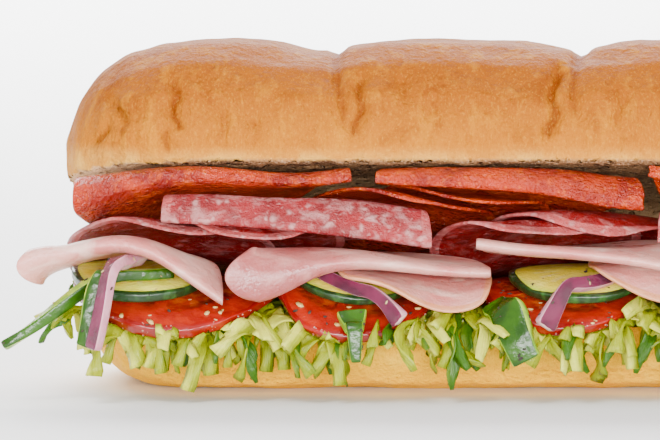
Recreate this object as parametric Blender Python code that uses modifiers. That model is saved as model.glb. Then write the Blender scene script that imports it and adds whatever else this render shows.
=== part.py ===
"""A submarine sandwich: a long soft loaf, split along one side and hinged at the back, filled with
shredded lettuce, tomato, cucumber, onion, green pepper, ham, salami and pepperoni.

Axes: +X runs along the loaf, -Y is the open side where the filling shows, +Z is up. The origin is the
middle of the loaf's flat base. Lengths below are in millimetres and become metres in the meshes.

The filling is laid slice by slice. A height map remembers the top of everything already in the loaf,
and each new slice drapes over it and sags over the open edge.
"""

import math

import bmesh
import bpy
import numpy as np
from mathutils import Matrix, Vector

MM = 0.001
CLEARANCE = 0.55  # air left between two pieces that touch
LAYER_GAP = 0.5  # least gap between the two layers of a folded slice

# The loaf, first as baked and uncut, then opened at the front
LOAF_HALF_LENGTH = 152.5
LOAF_HALF_WIDTH = 38.0
LOAF_HEIGHT = 56.0
LOAF_WIDEST_Z = 18.5
LOAF_END_LENGTH = 34.0
LOWER_LENGTH_SHARE = 0.97  # the lower half ends a little short of the upper one
CUT_Z = 20.0  # the knife's level, which is also the top of the lower half
LIP_LIFT = 35.5  # how far the front lip of the upper half is raised
HINGE_Y = 25.0  # the knife stops here and leaves the back as a hinge
TILT = math.radians(14.0)  # the raised half leans back by this much
SCORE_XS = (-86.0, -28.0, 30.0, 88.0)  # slashes across the crust
SCORE_DEPTH = 3.0
SCORE_WIDTH = 8.0
SCORE_SLANT = 0.3

# The bed of lettuce, and the way slices sag beyond the loaf's edges
BED_Z = 23.4
BED_BACK_Y = 15.0
SAG_START_Y = -28.0
SAG_START_X = 144.0
LOAF_END_X = 147.0  # what sticks out past here is held up by its own stiffness
SAG = 0.036

TOMATO_THICKNESS = 3.8
CUCUMBER_THICKNESS = 3.0
ONION_THICKNESS = 2.4
PEPPER_THICKNESS = 2.4
HAM_THICKNESS = 1.3
SALAMI_THICKNESS = 1.2
PEPPERONI_THICKNESS = 1.3

# Round slices: middle along X, front edge Y, radius
TOMATOES = (
    (-125.5, -54.0, 25.0),
    (-33.7, -53.0, 20.5),
    (54.0, -53.5, 22.5),
    (-83.5, -55.0, 20.5),
    (9.0, -53.5, 22.0),
    (96.0, -54.0, 19.0),
    (132.5, -51.0, 17.5),
)
CUCUMBERS = (
    (-134.0, -50.0, 17.0),
    (-84.3, -50.5, 16.0),
    (-29.0, -50.0, 18.0),
    (20.0, -50.0, 17.0),
    (70.0, -50.5, 17.5),
    (112.0, -50.0, 16.5),
)
SALAMI_FLATS = (
    (-127.0, -46.0, 26.0),
    (-108.0, -48.0, 23.0),
    (-40.0, -47.5, 26.0),
    (-28.0, -46.0, 25.0),
    (62.0, -47.0, 25.0),
    (126.0, -47.0, 24.0),
)
PEPPERONI_FLATS = (
    (-72.0, -43.0, 24.0),
    (-57.0, -41.0, 22.0),
    (48.0, -42.5, 24.0),
)

# Slices folded in half, fold to the front: middle along X, fold Y, radius, fold radius at each end
SALAMI_FOLDS = (
    (-97.0, -46.5, 32.0, 2.4, 5.2),
    (18.0, -46.5, 30.0, 2.6, 3.2),
    (92.0, -46.0, 30.0, 3.6, 2.4),
)
PEPPERONI_FOLDS = (
    (-117.0, -41.5, 33.0, 5.2, 2.2),
    (-46.5, -42.5, 32.0, 2.2, 4.8),
    (14.0, -40.5, 28.0, 2.4, 2.2),
    (67.0, -41.5, 28.0, 2.4, 3.2),
    (120.5, -41.5, 28.0, 2.4, 4.4),
)

# Flat ham, under the folded ones: middle along X, front Y, half length, depth
HAM_FLATS = (
    (-69.5, -53.5, 19.0, 30.0),
    (-9.0, -52.5, 19.0, 30.0),
    (80.0, -53.0, 20.0, 30.0),
)
# Folded ham: middle along X, half length, depth of one layer, then fold Y and radius at each end
HAM_FOLDS = (
    (-138.5, 24.5, 20.0, -51.0, 2.8, -53.0, 2.0),
    (-82.5, 31.5, 22.0, -57.5, 4.2, -50.0, 1.5),
    (-26.0, 29.0, 20.0, -50.0, 1.6, -51.0, 1.9),
    (34.0, 30.0, 21.0, -50.0, 1.6, -55.0, 3.0),
    (113.0, 34.0, 20.0, -51.5, 2.2, -51.5, 3.0),
)

# Strips: from X, Y to X, Y, how far the far end hangs below the pile, width at each end
ONIONS = (
    (-133.5, -40.0, -144.5, -60.0, 5.0, 3.4, 3.8),
    (-92.0, -44.0, -72.5, -57.0, 0.0, 3.0, 3.6),
    (-22.0, -44.0, -39.0, -57.0, 0.0, 3.4, 3.0),
    (36.0, -42.0, 48.0, -56.5, 1.0, 3.4, 3.6),
    (100.0, -43.0, 86.0, -57.5, 2.0, 3.2, 3.4),
    (128.0, -40.0, 141.0, -57.0, 6.0, 3.6, 3.2),
)
PEPPERS = (
    (-126.0, -43.0, -166.0, -52.5, -4.0, 4.6, 4.2),
    (-84.0, -54.0, -83.0, -58.5, 6.5, 8.0, 2.5),
    (-50.5, -47.0, -43.0, -58.0, 4.5, 6.5, 7.5),
    (-141.5, -53.5, -146.0, -56.5, 7.5, 4.5, 4.0),
    (-3.0, -48.0, -10.0, -58.5, 5.0, 6.5, 4.0),
    (66.0, -47.0, 72.0, -58.0, 5.0, 7.0, 5.0),
    (112.0, -48.0, 108.0, -58.0, 4.5, 6.5, 4.5),
    (126.0, -43.0, 158.0, -52.0, -3.0, 4.6, 4.2),
)

COLOURS = {
    "bread": ((0.80, 0.47, 0.16), 0.65),
    "lettuce": ((0.42, 0.60, 0.12), 0.45),
    "tomato": ((0.68, 0.06, 0.02), 0.25),
    "cucumber": ((0.62, 0.68, 0.28), 0.30),
    "onion": ((0.45, 0.12, 0.28), 0.30),
    "pepper": ((0.14, 0.32, 0.04), 0.25),
    "ham": ((0.83, 0.52, 0.47), 0.40),
    "salami": ((0.50, 0.08, 0.07), 0.38),
    "pepperoni": ((0.62, 0.09, 0.02), 0.28),
}


def material(kind):
    """The plain colour of one sort of food, made once."""
    found = bpy.data.materials.get(kind)
    if found:
        return found
    colour, roughness = COLOURS[kind]
    made = bpy.data.materials.new(kind)
    made.use_nodes = True
    shader = made.node_tree.nodes["Principled BSDF"]
    shader.inputs["Base Color"].default_value = (*colour, 1.0)
    shader.inputs["Roughness"].default_value = roughness
    shader.inputs["Metallic"].default_value = 0.0
    return made


def new_collection(name):
    made = bpy.data.collections.new(name)
    bpy.context.scene.collection.children.link(made)
    return made


def add_object(name, bm, kind, collection):
    """A smooth-shaded object from a bmesh in millimetres, with its origin in its middle."""
    bmesh.ops.scale(bm, vec=(MM, MM, MM), verts=bm.verts)
    low = [min(vert.co[axis] for vert in bm.verts) for axis in range(3)]
    high = [max(vert.co[axis] for vert in bm.verts) for axis in range(3)]
    middle = (Vector(low) + Vector(high)) / 2.0
    bmesh.ops.translate(bm, verts=bm.verts, vec=-middle)
    mesh = bpy.data.meshes.new(name)
    bm.to_mesh(mesh)
    bm.free()
    mesh.materials.append(material(kind))
    mesh.shade_smooth()
    made = bpy.data.objects.new(name, mesh)
    made.location = middle
    collection.objects.link(made)
    return made


def smooth_step(low, high, value):
    """0 below low, 1 above high, and an S curve between."""
    share = min(1.0, max(0.0, (value - low) / (high - low)))
    return share * share * (3.0 - 2.0 * share)


def mix(first, second, share):
    return first + (second - first) * share


# ---------------------------------------------------------------- the loaf


def score_depth(x, y):
    """How deep the slashes press into the crust here."""
    nearest = min(abs(x - score - SCORE_SLANT * y) for score in SCORE_XS)
    return SCORE_DEPTH * math.exp(-((nearest / SCORE_WIDTH) ** 2))


def loaf_surface(direction):
    """The uncut loaf's surface in this direction of a unit ball whose poles lie on X."""
    turn = math.acos(max(-1.0, min(1.0, direction.x))) / math.pi
    along = 1.0 - 2.0 * turn
    x = LOAF_HALF_LENGTH * math.copysign(1.0 - (1.0 - abs(along)) ** 1.6, along)
    into_end = max(0.0, (abs(x) - (LOAF_HALF_LENGTH - LOAF_END_LENGTH)) / LOAF_END_LENGTH)
    size = math.sqrt(max(0.0, 1.0 - into_end**2.6))
    angle = math.atan2(direction.z, direction.y)
    cos, sin = math.cos(angle), math.sin(angle)
    bend = 2.25 if sin > 0 else 3.2  # a domed top and a squarer bottom
    radius = (abs(cos) ** bend + abs(sin) ** bend) ** (-1.0 / bend)
    y = LOAF_HALF_WIDTH * radius * cos * size
    if sin > 0:
        z = LOAF_WIDEST_Z + (LOAF_HEIGHT - LOAF_WIDEST_Z) * radius * sin * size
        z -= score_depth(x, y) * sin**0.7 * size
    else:
        z = LOAF_WIDEST_Z * (1.0 + 1.12 * radius * sin * size)
    return x, y, max(0.0, z)


def ceiling(y):
    """Height of the upper half's cut face once the loaf is opened."""
    return CUT_Z + LIP_LIFT - math.tan(TILT) * (y + LOAF_HALF_WIDTH)


def opened(x, y, z):
    """Where a point of the uncut loaf goes when it is opened: the back stretches and the top lifts."""
    if y > 0:
        raised = smooth_step(CUT_Z - 9.0, CUT_Z + 9.0, z)
    else:
        raised = float(z > CUT_Z)
    x *= mix(LOWER_LENGTH_SHARE, 1.0, raised)
    return x, y, z + raised * (ceiling(y) - CUT_Z)


def build_loaf(collection, cutters):
    """The whole hinged loaf: a shaped ball, opened, with the knife's wedge taken out of its front."""
    bm = bmesh.new()
    bmesh.ops.create_uvsphere(bm, u_segments=24, v_segments=32, radius=1.0)
    bmesh.ops.rotate(bm, verts=bm.verts, cent=(0, 0, 0), matrix=Matrix.Rotation(math.pi / 2, 3, "Y"))
    for vert in bm.verts:
        vert.co = opened(*loaf_surface(vert.co))
    loaf = add_object("bread", bm, "bread", collection)

    cut = loaf.modifiers.new("open side", "BOOLEAN")
    cut.operation = "DIFFERENCE"
    cut.solver = "EXACT"
    cut.object = wedge_cutter(cutters)
    return loaf


def wedge_cutter(cutters):
    """The space between the two cut faces, rounded at the hinge: an outline pushed along the loaf."""
    front = -LOAF_HALF_WIDTH - 12.0
    round_y = HINGE_Y - 8.0
    half = (ceiling(round_y) - CUT_Z) / 2.0
    outline = [(front, CUT_Z), (round_y, CUT_Z)]
    steps = 6
    for step in range(1, steps):
        angle = -math.pi / 2 + math.pi * step / steps
        outline.append((round_y + 8.0 * math.cos(angle), CUT_Z + half + half * math.sin(angle)))
    outline += [(round_y, ceiling(round_y)), (front, ceiling(front))]

    bm = bmesh.new()
    reach = LOAF_HALF_LENGTH + 20.0
    face = bm.faces.new([bm.verts.new((-reach, y, z)) for y, z in outline])
    pushed = bmesh.ops.extrude_face_region(bm, geom=[face])
    moved = [item for item in pushed["geom"] if isinstance(item, bmesh.types.BMVert)]
    bmesh.ops.translate(bm, verts=moved, vec=(2 * reach, 0, 0))
    bmesh.ops.recalc_face_normals(bm, faces=bm.faces)
    knife = add_object("knife_wedge", bm, "bread", cutters)
    knife.hide_render = True
    knife.display_type = "WIRE"
    return knife


# ---------------------------------------------------------------- the height map

CELL = 1.0
PRESS_REACH = 12  # cells over which the loaf's pressure spreads
MAP_X = np.arange(-190.0, 190.5, CELL)
MAP_Y = np.arange(-68.0, 42.5, CELL)
EMPTY = -99.0


def bed_height(x, y):
    """Top of the lettuce, and the level a slice sags to where it sticks out past the lettuce."""
    over_front = np.maximum(0.0, SAG_START_Y - y)
    over_end = np.maximum(0.0, np.abs(x) - SAG_START_X)
    return BED_Z - 0.5 * SAG * (over_front**2 + 0.8 * over_end**2)


class Pile:
    """The top of all that lies in the loaf so far, as a map over X and Y."""

    def __init__(self):
        x, y = np.meshgrid(MAP_X, MAP_Y, indexing="ij")
        self.guide = bed_height(x, y)
        self.top = np.full_like(self.guide, EMPTY)
        covered = (np.abs(x) < 154.0) & (y > -50.5) & (y < BED_BACK_Y)
        self.top[covered] = self.guide[covered]

    def drape(self, reach=3):
        """The pile's top, softened the way a limp slice would follow it."""
        wide = np.maximum(self.top, self.guide)
        ends = np.abs(MAP_X) > LOAF_END_X
        inner = np.searchsorted(MAP_X, np.clip(MAP_X[ends], -LOAF_END_X, LOAF_END_X))
        past = np.abs(MAP_X[ends]) - LOAF_END_X
        wide[ends] = np.maximum(wide[ends], wide[inner] - 0.5 * SAG * past[:, None] ** 2)
        wide = np.max(neighbours(wide), axis=0)
        for _ in range(reach):
            wide = np.mean(neighbours(wide), axis=0)
        return wide

    def shortfall(self, corners):
        """How far this triangle of a slice's underside is below the pile at worst, and the share of
        each corner in that place."""
        cells = covered_cells(corners)
        if cells is None:
            return 0.0, None
        columns, rows, heights, shares = cells
        short = self.top[columns, rows] + CLEARANCE - heights
        worst = int(np.argmax(short))
        return float(short[worst]), shares[:, worst]

    def lay(self, corners):
        """Raises the map to this triangle of a slice's upper side."""
        cells = covered_cells(corners)
        if cells is not None:
            columns, rows, heights, _ = cells
            self.top[columns, rows] = np.maximum(self.top[columns, rows], heights)

    def squeeze(self):
        """How much the upper half of the loaf flattens the pile at each place, at most 1."""
        allowed = ceiling(np.maximum(MAP_Y, -LOAF_HALF_WIDTH))[None, :] - CLEARANCE - self.guide
        needed = np.maximum(self.top - self.guide, 0.1)
        share = np.minimum(1.0, allowed / needed)
        for _ in range(PRESS_REACH):
            share = np.min(neighbours(share), axis=0)
        for _ in range(PRESS_REACH):
            share = np.mean(neighbours(share), axis=0)
        return share


def neighbours(grid):
    """The grid shifted to each of the nine places around and on a cell."""
    padded = np.pad(grid, 1, mode="edge")
    wide, deep = grid.shape
    return np.array([padded[i : i + wide, j : j + deep] for i in range(3) for j in range(3)])


def covered_cells(corners):
    """The map cells over this triangle, half a cell past its edges, with its height at each."""
    (x0, y0, z0), (x1, y1, z1), (x2, y2, z2) = corners
    area = (x1 - x0) * (y2 - y0) - (x2 - x0) * (y1 - y0)
    if abs(area) < 0.02:
        return None
    first = np.searchsorted(MAP_X, min(x0, x1, x2) - CELL)
    last = np.searchsorted(MAP_X, max(x0, x1, x2) + CELL)
    low = np.searchsorted(MAP_Y, min(y0, y1, y2) - CELL)
    high = np.searchsorted(MAP_Y, max(y0, y1, y2) + CELL)
    x, y = np.meshgrid(MAP_X[first:last], MAP_Y[low:high], indexing="ij")
    second = ((x - x0) * (y2 - y0) - (x2 - x0) * (y - y0)) / area
    third = ((x1 - x0) * (y - y0) - (x - x0) * (y1 - y0)) / area
    slack = CELL * max(math.dist((x0, y0), (x1, y1)), math.dist((x0, y0), (x2, y2))) / abs(area)
    slack = min(slack, 0.5)
    inside = (second > -slack) & (third > -slack) & (second + third < 1.0 + slack)
    if not inside.any():
        return None
    second = np.clip(second, 0.0, None)
    third = np.clip(third, 0.0, None)
    total = np.maximum(second + third, 1.0)
    second, third = second / total, third / total
    shares = np.array([1.0 - second - third, second, third])[:, inside]
    columns, rows = np.nonzero(inside)
    return columns + first, rows + low, shares[0] * z0 + shares[1] * z1 + shares[2] * z2, shares


PILE = Pile()
SLICES = []  # name, kind and mesh of each slice, until the pile is pressed


def at(surface, x, y):
    """A map's height at a point, blended between cells."""
    i = min(max((x - MAP_X[0]) / CELL, 0.0), len(MAP_X) - 1.001)
    j = min(max((y - MAP_Y[0]) / CELL, 0.0), len(MAP_Y) - 1.001)
    column, row = int(i), int(j)
    near = mix(surface[column, row], surface[column + 1, row], i - column)
    far = mix(surface[column, row + 1], surface[column + 1, row + 1], i - column)
    return float(mix(near, far, j - row))


# ---------------------------------------------------------------- slices


def slice_object(name, kind, thickness, across, deep, place, folded=False):
    """A slice: a grid put in place, lifted until it clears the pile, thickened, and laid on the map.

    place(u, v, drape) gives the point of the slice's middle layer for u and v from -1 to 1."""
    bm = bmesh.new()
    bmesh.ops.create_grid(bm, x_segments=across, y_segments=deep, size=1.0)
    rows = grid_rows(bm)
    drape = PILE.drape()
    for vert in bm.verts:
        vert.co = place(vert.co.x, vert.co.y, drape)
    bmesh.ops.recalc_face_normals(bm, faces=bm.faces)
    for _ in range(4):
        lift_clear(bm, thickness, rows, folded)
        soften(bm, rows)
    for _ in range(40):
        if not lift_clear(bm, thickness, rows, folded):
            break
    if folded:
        keep_apart(bm, thickness, rows)
    for side in (1.0, -1.0):
        for corners in side_triangles(bm, thickness * side):
            PILE.lay(corners)
    SLICES.append((name, kind, thickened(bm, thickness)))


def grid_rows(bm):
    """The indices of a grid's corners, one row for each step along X."""
    order = sorted(bm.verts, key=lambda vert: (round(vert.co.x, 4), round(vert.co.y, 4)))
    deep = len({round(vert.co.y, 4) for vert in bm.verts})
    return np.array([vert.index for vert in order]).reshape(-1, deep)


def soften(bm, rows):
    """Evens out the heights along the slice."""
    bm.verts.ensure_lookup_table()
    heights = np.array([vert.co.z for vert in bm.verts])[rows]
    padded = np.pad(heights, ((1, 1), (0, 0)), mode="reflect", reflect_type="odd")
    heights = (padded[:-2] + 2.0 * heights + padded[2:]) / 4.0
    for index, height in zip(rows.ravel(), heights.ravel()):
        bm.verts[index].co.z = height


def thickened(bm, thickness):
    """The sheet as a closed slice, half its thickness to each side."""
    mesh = bpy.data.meshes.new("sheet")
    bm.to_mesh(mesh)
    sheet = bpy.data.objects.new("sheet", mesh)
    bpy.context.scene.collection.objects.link(sheet)
    thick = sheet.modifiers.new("thickness", "SOLIDIFY")
    thick.thickness = thickness
    thick.offset = 0.0
    solid = sheet.evaluated_get(bpy.context.evaluated_depsgraph_get())
    bm.clear()
    bm.from_mesh(solid.to_mesh())
    bpy.data.objects.remove(sheet, do_unlink=True)
    bpy.data.meshes.remove(mesh)
    return bm


def side_triangles(bm, thickness):
    """The triangles of a slice's outer or inner side, as points half a thickness off its middle."""
    bm.normal_update()
    points = [np.array(vert.co + vert.normal * (thickness / 2.0)) for vert in bm.verts]
    bm.faces.ensure_lookup_table()
    for face in bm.faces:
        ring = [vert.index for vert in face.verts]
        for second, third in zip(ring[1:-1], ring[2:]):
            yield points[ring[0]], points[second], points[third]


def lift_clear(bm, thickness, rows, folded):
    """Raises the corners of every face that is still in the pile. True if any had to move."""
    rise = np.zeros(len(bm.verts))
    bm.normal_update()
    for side in (1.0, -1.0):
        points = [np.array(vert.co + vert.normal * (side * thickness / 2.0)) for vert in bm.verts]
        for face in bm.faces:
            ring = [vert.index for vert in face.verts]
            for second, third in zip(ring[1:-1], ring[2:]):
                triangle = (ring[0], second, third)
                short, shares = PILE.shortfall([points[index] for index in triangle])
                if short > 0.0:
                    for index, share in zip(triangle, shares):
                        rise[index] = max(rise[index], short * share / float(shares @ shares))
    if folded:  # both layers rise together, and so does all of the bend between them
        both = np.maximum(rise[rows], rise[rows[:, ::-1]])
        bend = slice(rows.shape[1] // 2 - 1, rows.shape[1] // 2 + 2)
        both[:, bend] = both[:, bend].max(axis=1, keepdims=True)
        rise[rows] = both
    for vert in bm.verts:
        vert.co.z += rise[vert.index] * 1.02
    return bool(rise.max() > 0.01)


def keep_apart(bm, thickness, rows):
    """Raises the upper layer of a fold wherever it is too near the lower one, measured square to it."""
    middle = rows.shape[1] // 2
    for _ in range(4):
        bm.normal_update()
        bm.verts.ensure_lookup_table()
        for column in rows:
            for step in range(2, middle + 1):
                lower, upper = bm.verts[column[middle - step]], bm.verts[column[middle + step]]
                upright = max(0.35, min(abs(lower.normal.z), abs(upper.normal.z)))
                upper.co.z = max(upper.co.z, lower.co.z + (thickness + LAYER_GAP) / upright)


def disc(u, v):
    """A square grid's point moved onto the unit disc."""
    return u * math.sqrt(1.0 - v * v / 2.0), v * math.sqrt(1.0 - u * u / 2.0)


def round_slice(name, kind, thickness, size, across):
    """A flat round slice, draped. size: middle X, front Y, radius."""
    middle, front, radius = size

    def place(u, v, drape):
        across_share, deep_share = disc(u, v)
        x = middle + radius * across_share
        y = front + radius * (1.0 + deep_share)
        return x, y, at(drape, x, y) + thickness / 2.0 + 0.1

    slice_object(name, kind, thickness, across, across, place)


def fold_profile(length, radius, inner):
    """Depth behind the fold and half the opening, at a length along the slice from the fold line."""
    quarter = math.pi / 2.0 * radius
    if abs(length) < quarter:
        angle = abs(length) / radius
        return radius - radius * math.cos(angle), radius * math.sin(angle)
    past = abs(length) - quarter
    return radius + past, inner + (radius - inner) * math.exp(-((past / (2.4 * radius)) ** 2))


def folded_slice(name, kind, thickness, size, outline, across=5, deep=10):
    """A slice folded in half with the fold to the front. size: middle X, then fold Y and radius at
    -X and at +X. outline(u, v) gives the flat slice's point, with v = 0 on the fold line."""
    middle, front_left, radius_left, front_right, radius_right = size
    inner = thickness / 2.0 + 0.35

    def place(u, v, drape):
        x_off, length = outline(u, math.copysign(abs(v) ** 1.5, v))
        x = middle + x_off
        radius = mix(radius_left, radius_right, smooth_step(-1.0, 0.6, u))
        back, opening = fold_profile(length, radius, inner)
        front = mix(front_left, front_right, (u + 1.0) / 2.0)
        y = front + back
        ground = at(drape, x, max(y, front + radius)) + thickness / 2.0 + 0.1
        spread = opening if back > radius else radius
        return x, y, ground + spread + math.copysign(opening, length)

    slice_object(name, kind, thickness, across, deep, place, folded=True)


def folded_disc(name, kind, thickness, size):
    """A round slice folded in half. size: middle X, fold Y, radius, fold radius at each end."""
    middle, front, radius, radius_left, radius_right = size

    def outline(u, v):
        across_share, deep_share = disc(u, v)
        return radius * across_share, radius * deep_share

    fold = (middle, front, radius_left, front, radius_right)
    folded_slice(name, kind, thickness, fold, outline)


def rounded_box(u, v, squareness):
    """A grid point moved toward a rectangle with rounded corners."""
    round_u, round_v = disc(u, v)
    return mix(round_u, u, squareness), mix(round_v, v, squareness)


def ham_flat(name, size):
    """A single slice of ham. size: middle X, front Y, half length, depth."""
    middle, front, half_length, depth = size

    def place(u, v, drape):
        across_share, deep_share = rounded_box(u, v, 0.7)
        ripple = 0.9 * math.sin(4.0 * across_share + middle) * smooth_step(0.0, 1.0, -deep_share)
        x = middle + half_length * across_share
        y = front + depth / 2.0 * (1.0 + deep_share) + ripple
        return x, y, at(drape, x, y) + HAM_THICKNESS / 2.0 + 0.1

    slice_object(name, "ham", HAM_THICKNESS, 6, 4, place)


def ham_fold(name, size):
    """A slice of ham folded over, its fold a little askew."""
    middle, half_length, depth, front_left, radius_left, front_right, radius_right = size

    def outline(u, v):
        across_share, deep_share = rounded_box(u, v, 0.7)
        return half_length * across_share, depth * deep_share

    fold = (middle, front_left, radius_left, front_right, radius_right)
    folded_slice(name, "ham", HAM_THICKNESS, fold, outline, across=6, deep=8)


def strip(name, kind, thickness, size):
    """A cut strip that lies across the pile, and may hang down in front of it."""
    x0, y0, x1, y1, hang, width_near, width_far = size
    length = math.hypot(x1 - x0, y1 - y0)
    side_x, side_y = -(y1 - y0) / length, (x1 - x0) / length
    if hang > 3.0:  # a hanging strip faces the front
        side_x, side_y = 1.0, 0.0

    def place(u, v, drape):
        share = (u + 1.0) / 2.0
        half_width = mix(width_near, width_far, share) / 2.0
        forward = share if hang == 0.0 else min(1.0, share / 0.7)
        x = mix(x0, x1, share) + side_x * half_width * v
        y = mix(y0, y1, forward) + side_y * half_width * v
        drop = hang * smooth_step(0.5, 1.0, share) + 0.8 * share
        return x, y, at(drape, x, max(y, y1 + 1.5)) + thickness / 2.0 + 0.1 - drop

    slice_object(name, kind, thickness, 6, 1, place)


def lettuce_profile(share, x):
    """The heap of lettuce in cross section: the bed in the loaf, then shreds hanging over the front."""
    tooth = abs(math.sin(0.19 * x + 1.4 * math.sin(0.07 * x))) ** 0.8
    tip = 4.5 + 10.0 * tooth
    front = -48.0 - 1.6 * math.sin(0.31 * x + 1.0)
    under = CUT_Z + 0.45 - 5.0 * smooth_step(149.5, 154.0, abs(x))
    corners = (
        (BED_BACK_Y, under),
        (BED_BACK_Y - 1.0, BED_Z - 0.6),
        (-8.0, BED_Z),
        (SAG_START_Y, BED_Z),
        (-38.0, float(bed_height(0.0, -38.0))),
        (front + 2.0, float(bed_height(0.0, front + 2.0))),
        (front, mix(18.0, tip, 0.35)),
        (-45.0, tip),
        (-42.5, tip + 0.6),
        (-40.4, mix(18.0, tip, 0.4)),
        (-39.6, under - 0.8),
        (-37.0, under),
    )
    return corners[int(round(share * len(corners))) % len(corners)]


def build_lettuce(collection):
    """The lettuce, one heap out to its uneven outline."""
    around, along = 12, 46
    bm = bmesh.new()
    bmesh.ops.create_grid(bm, x_segments=along, y_segments=around, size=1.0)
    for vert in bm.verts:
        x = 154.5 * vert.co.x
        y, z = lettuce_profile((vert.co.y + 1.0) / 2.0, x)
        sag = 0.5 * SAG * max(0.0, abs(x) - SAG_START_X) ** 2
        vert.co = x, y, z - sag * smooth_step(149.0, 150.0, abs(x))
    bmesh.ops.remove_doubles(bm, verts=bm.verts, dist=0.001)
    bmesh.ops.holes_fill(bm, edges=bm.edges, sides=0)
    bmesh.ops.recalc_face_normals(bm, faces=bm.faces)
    add_object("lettuce", bm, "lettuce", collection)


def build_filling():
    """Every slice, from the lettuce up."""
    for number, size in enumerate(TOMATOES, 1):
        round_slice(f"tomato_{number}", "tomato", TOMATO_THICKNESS, size, 5)
    for number, size in enumerate(CUCUMBERS, 1):
        round_slice(f"cucumber_{number}", "cucumber", CUCUMBER_THICKNESS, size, 4)
    for number, size in enumerate(PEPPERS, 1):
        strip(f"pepper_{number}", "pepper", PEPPER_THICKNESS, size)
    for number, size in enumerate(ONIONS, 1):
        strip(f"onion_{number}", "onion", ONION_THICKNESS, size)
    for number, size in enumerate(HAM_FLATS, 1):
        ham_flat(f"ham_{number}", size)
    for number, size in enumerate(HAM_FOLDS, 1):
        ham_fold(f"ham_folded_{number}", size)
    for number, size in enumerate(SALAMI_FLATS, 1):
        round_slice(f"salami_{number}", "salami", SALAMI_THICKNESS, size, 4)
    for number, size in enumerate(SALAMI_FOLDS, 1):
        folded_disc(f"salami_folded_{number}", "salami", SALAMI_THICKNESS, size)
    for number, size in enumerate(PEPPERONI_FLATS, 1):
        round_slice(f"pepperoni_{number}", "pepperoni", PEPPERONI_THICKNESS, size, 4)
    for number, size in enumerate(PEPPERONI_FOLDS, 1):
        folded_disc(f"pepperoni_folded_{number}", "pepperoni", PEPPERONI_THICKNESS, size)


def press_pile(collection):
    """Closes the upper half on the pile, which flattens it where it is too high, and makes the objects."""
    share = PILE.squeeze()
    for name, kind, bm in SLICES:
        for vert in bm.verts:
            bed = bed_height(vert.co.x, vert.co.y)
            if vert.co.z > bed:
                vert.co.z = bed + (vert.co.z - bed) * at(share, vert.co.x, vert.co.y)
        add_object(name, bm, kind, collection)


def main():
    for item in list(bpy.data.objects):
        bpy.data.objects.remove(item, do_unlink=True)
    sandwich = new_collection("submarine_sandwich")
    cutters = new_collection("cutters")
    build_loaf(sandwich, cutters)
    build_lettuce(sandwich)
    build_filling()
    press_pile(sandwich)


main()
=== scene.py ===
# %% [markdown]
# # A submarine sandwich
#
# The CAD model gives every slice its place and its main form. This file gives them their looks: the
# browned loaf with its porous cut faces, shredded lettuce in place of the plain heap, wet tomato and
# cucumber, marbled salami, oily pepperoni, and the pepper flecks and herbs on top of them.
#
# Lengths are in metres. +X runs along the loaf, -Y is its open side and +Z is up.

# %% Load the frame
import math
import random

import bpy
import numpy as np
from mathutils import Euler, Matrix, Vector
from mathutils.bvhtree import BVHTree


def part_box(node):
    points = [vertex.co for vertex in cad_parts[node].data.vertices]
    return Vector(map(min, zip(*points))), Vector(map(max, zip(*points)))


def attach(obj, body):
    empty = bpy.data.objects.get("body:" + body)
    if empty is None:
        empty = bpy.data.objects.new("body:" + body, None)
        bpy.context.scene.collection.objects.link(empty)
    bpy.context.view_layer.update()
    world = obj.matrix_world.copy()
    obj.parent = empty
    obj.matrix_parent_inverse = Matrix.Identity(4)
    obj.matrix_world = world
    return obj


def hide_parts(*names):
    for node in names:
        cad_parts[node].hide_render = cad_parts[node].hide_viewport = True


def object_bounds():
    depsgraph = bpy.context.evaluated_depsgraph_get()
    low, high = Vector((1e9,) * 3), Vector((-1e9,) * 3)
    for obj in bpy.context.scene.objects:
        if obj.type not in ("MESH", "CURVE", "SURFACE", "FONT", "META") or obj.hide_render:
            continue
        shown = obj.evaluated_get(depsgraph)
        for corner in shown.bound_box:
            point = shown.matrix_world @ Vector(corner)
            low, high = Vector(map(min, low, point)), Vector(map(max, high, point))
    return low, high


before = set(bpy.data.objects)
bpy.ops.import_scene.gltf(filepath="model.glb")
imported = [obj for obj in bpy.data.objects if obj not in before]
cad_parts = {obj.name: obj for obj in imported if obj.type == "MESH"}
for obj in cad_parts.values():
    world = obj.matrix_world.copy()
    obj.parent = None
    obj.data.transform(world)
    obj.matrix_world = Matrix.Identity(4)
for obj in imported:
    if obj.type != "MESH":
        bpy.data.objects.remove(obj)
cad_low, cad_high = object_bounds()
NODES = sorted(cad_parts)
print("nodes:", len(NODES), "box:", [round(v, 4) for v in (*cad_low, *cad_high)])


def nodes_of(kind):
    """The CAD nodes of one kind, such as tomato_1 to tomato_7."""
    return [name for name in NODES if name.rsplit("_", 1)[0] == kind]


print("tomato slices in the frame:", len(nodes_of("tomato")))

# %% [markdown]
# ## Small helpers
#
# An operator works on everything that is selected, so each step first selects one object alone. A CAD
# node is loose triangles, so its copy is merged, and its triangles are joined into quads, which
# subdivide and bevel evenly. Corners that many steps read or move at once are handled as one array,
# because a loop over a hundred thousand corners is slow.

# %% Selecting and copying


def only(piece):
    """Makes one object the whole selection."""
    bpy.ops.object.select_all(action="DESELECT")
    piece.select_set(True)
    bpy.context.view_layer.objects.active = piece


def apply_modifier(piece, kind, **settings):
    """Adds a modifier with these settings and applies it at once."""
    only(piece)
    modifier = piece.modifiers.new(kind.lower(), kind)
    for key, value in settings.items():
        setattr(modifier, key, value)
    bpy.ops.object.modifier_apply(modifier=modifier.name)


def turn_outwards(piece):
    """Makes the faces of a piece agree on which side is outside."""
    only(piece)
    bpy.ops.object.mode_set(mode="EDIT")
    bpy.ops.mesh.select_all(action="SELECT")
    bpy.ops.mesh.normals_make_consistent(inside=False)
    bpy.ops.object.mode_set(mode="OBJECT")


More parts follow.
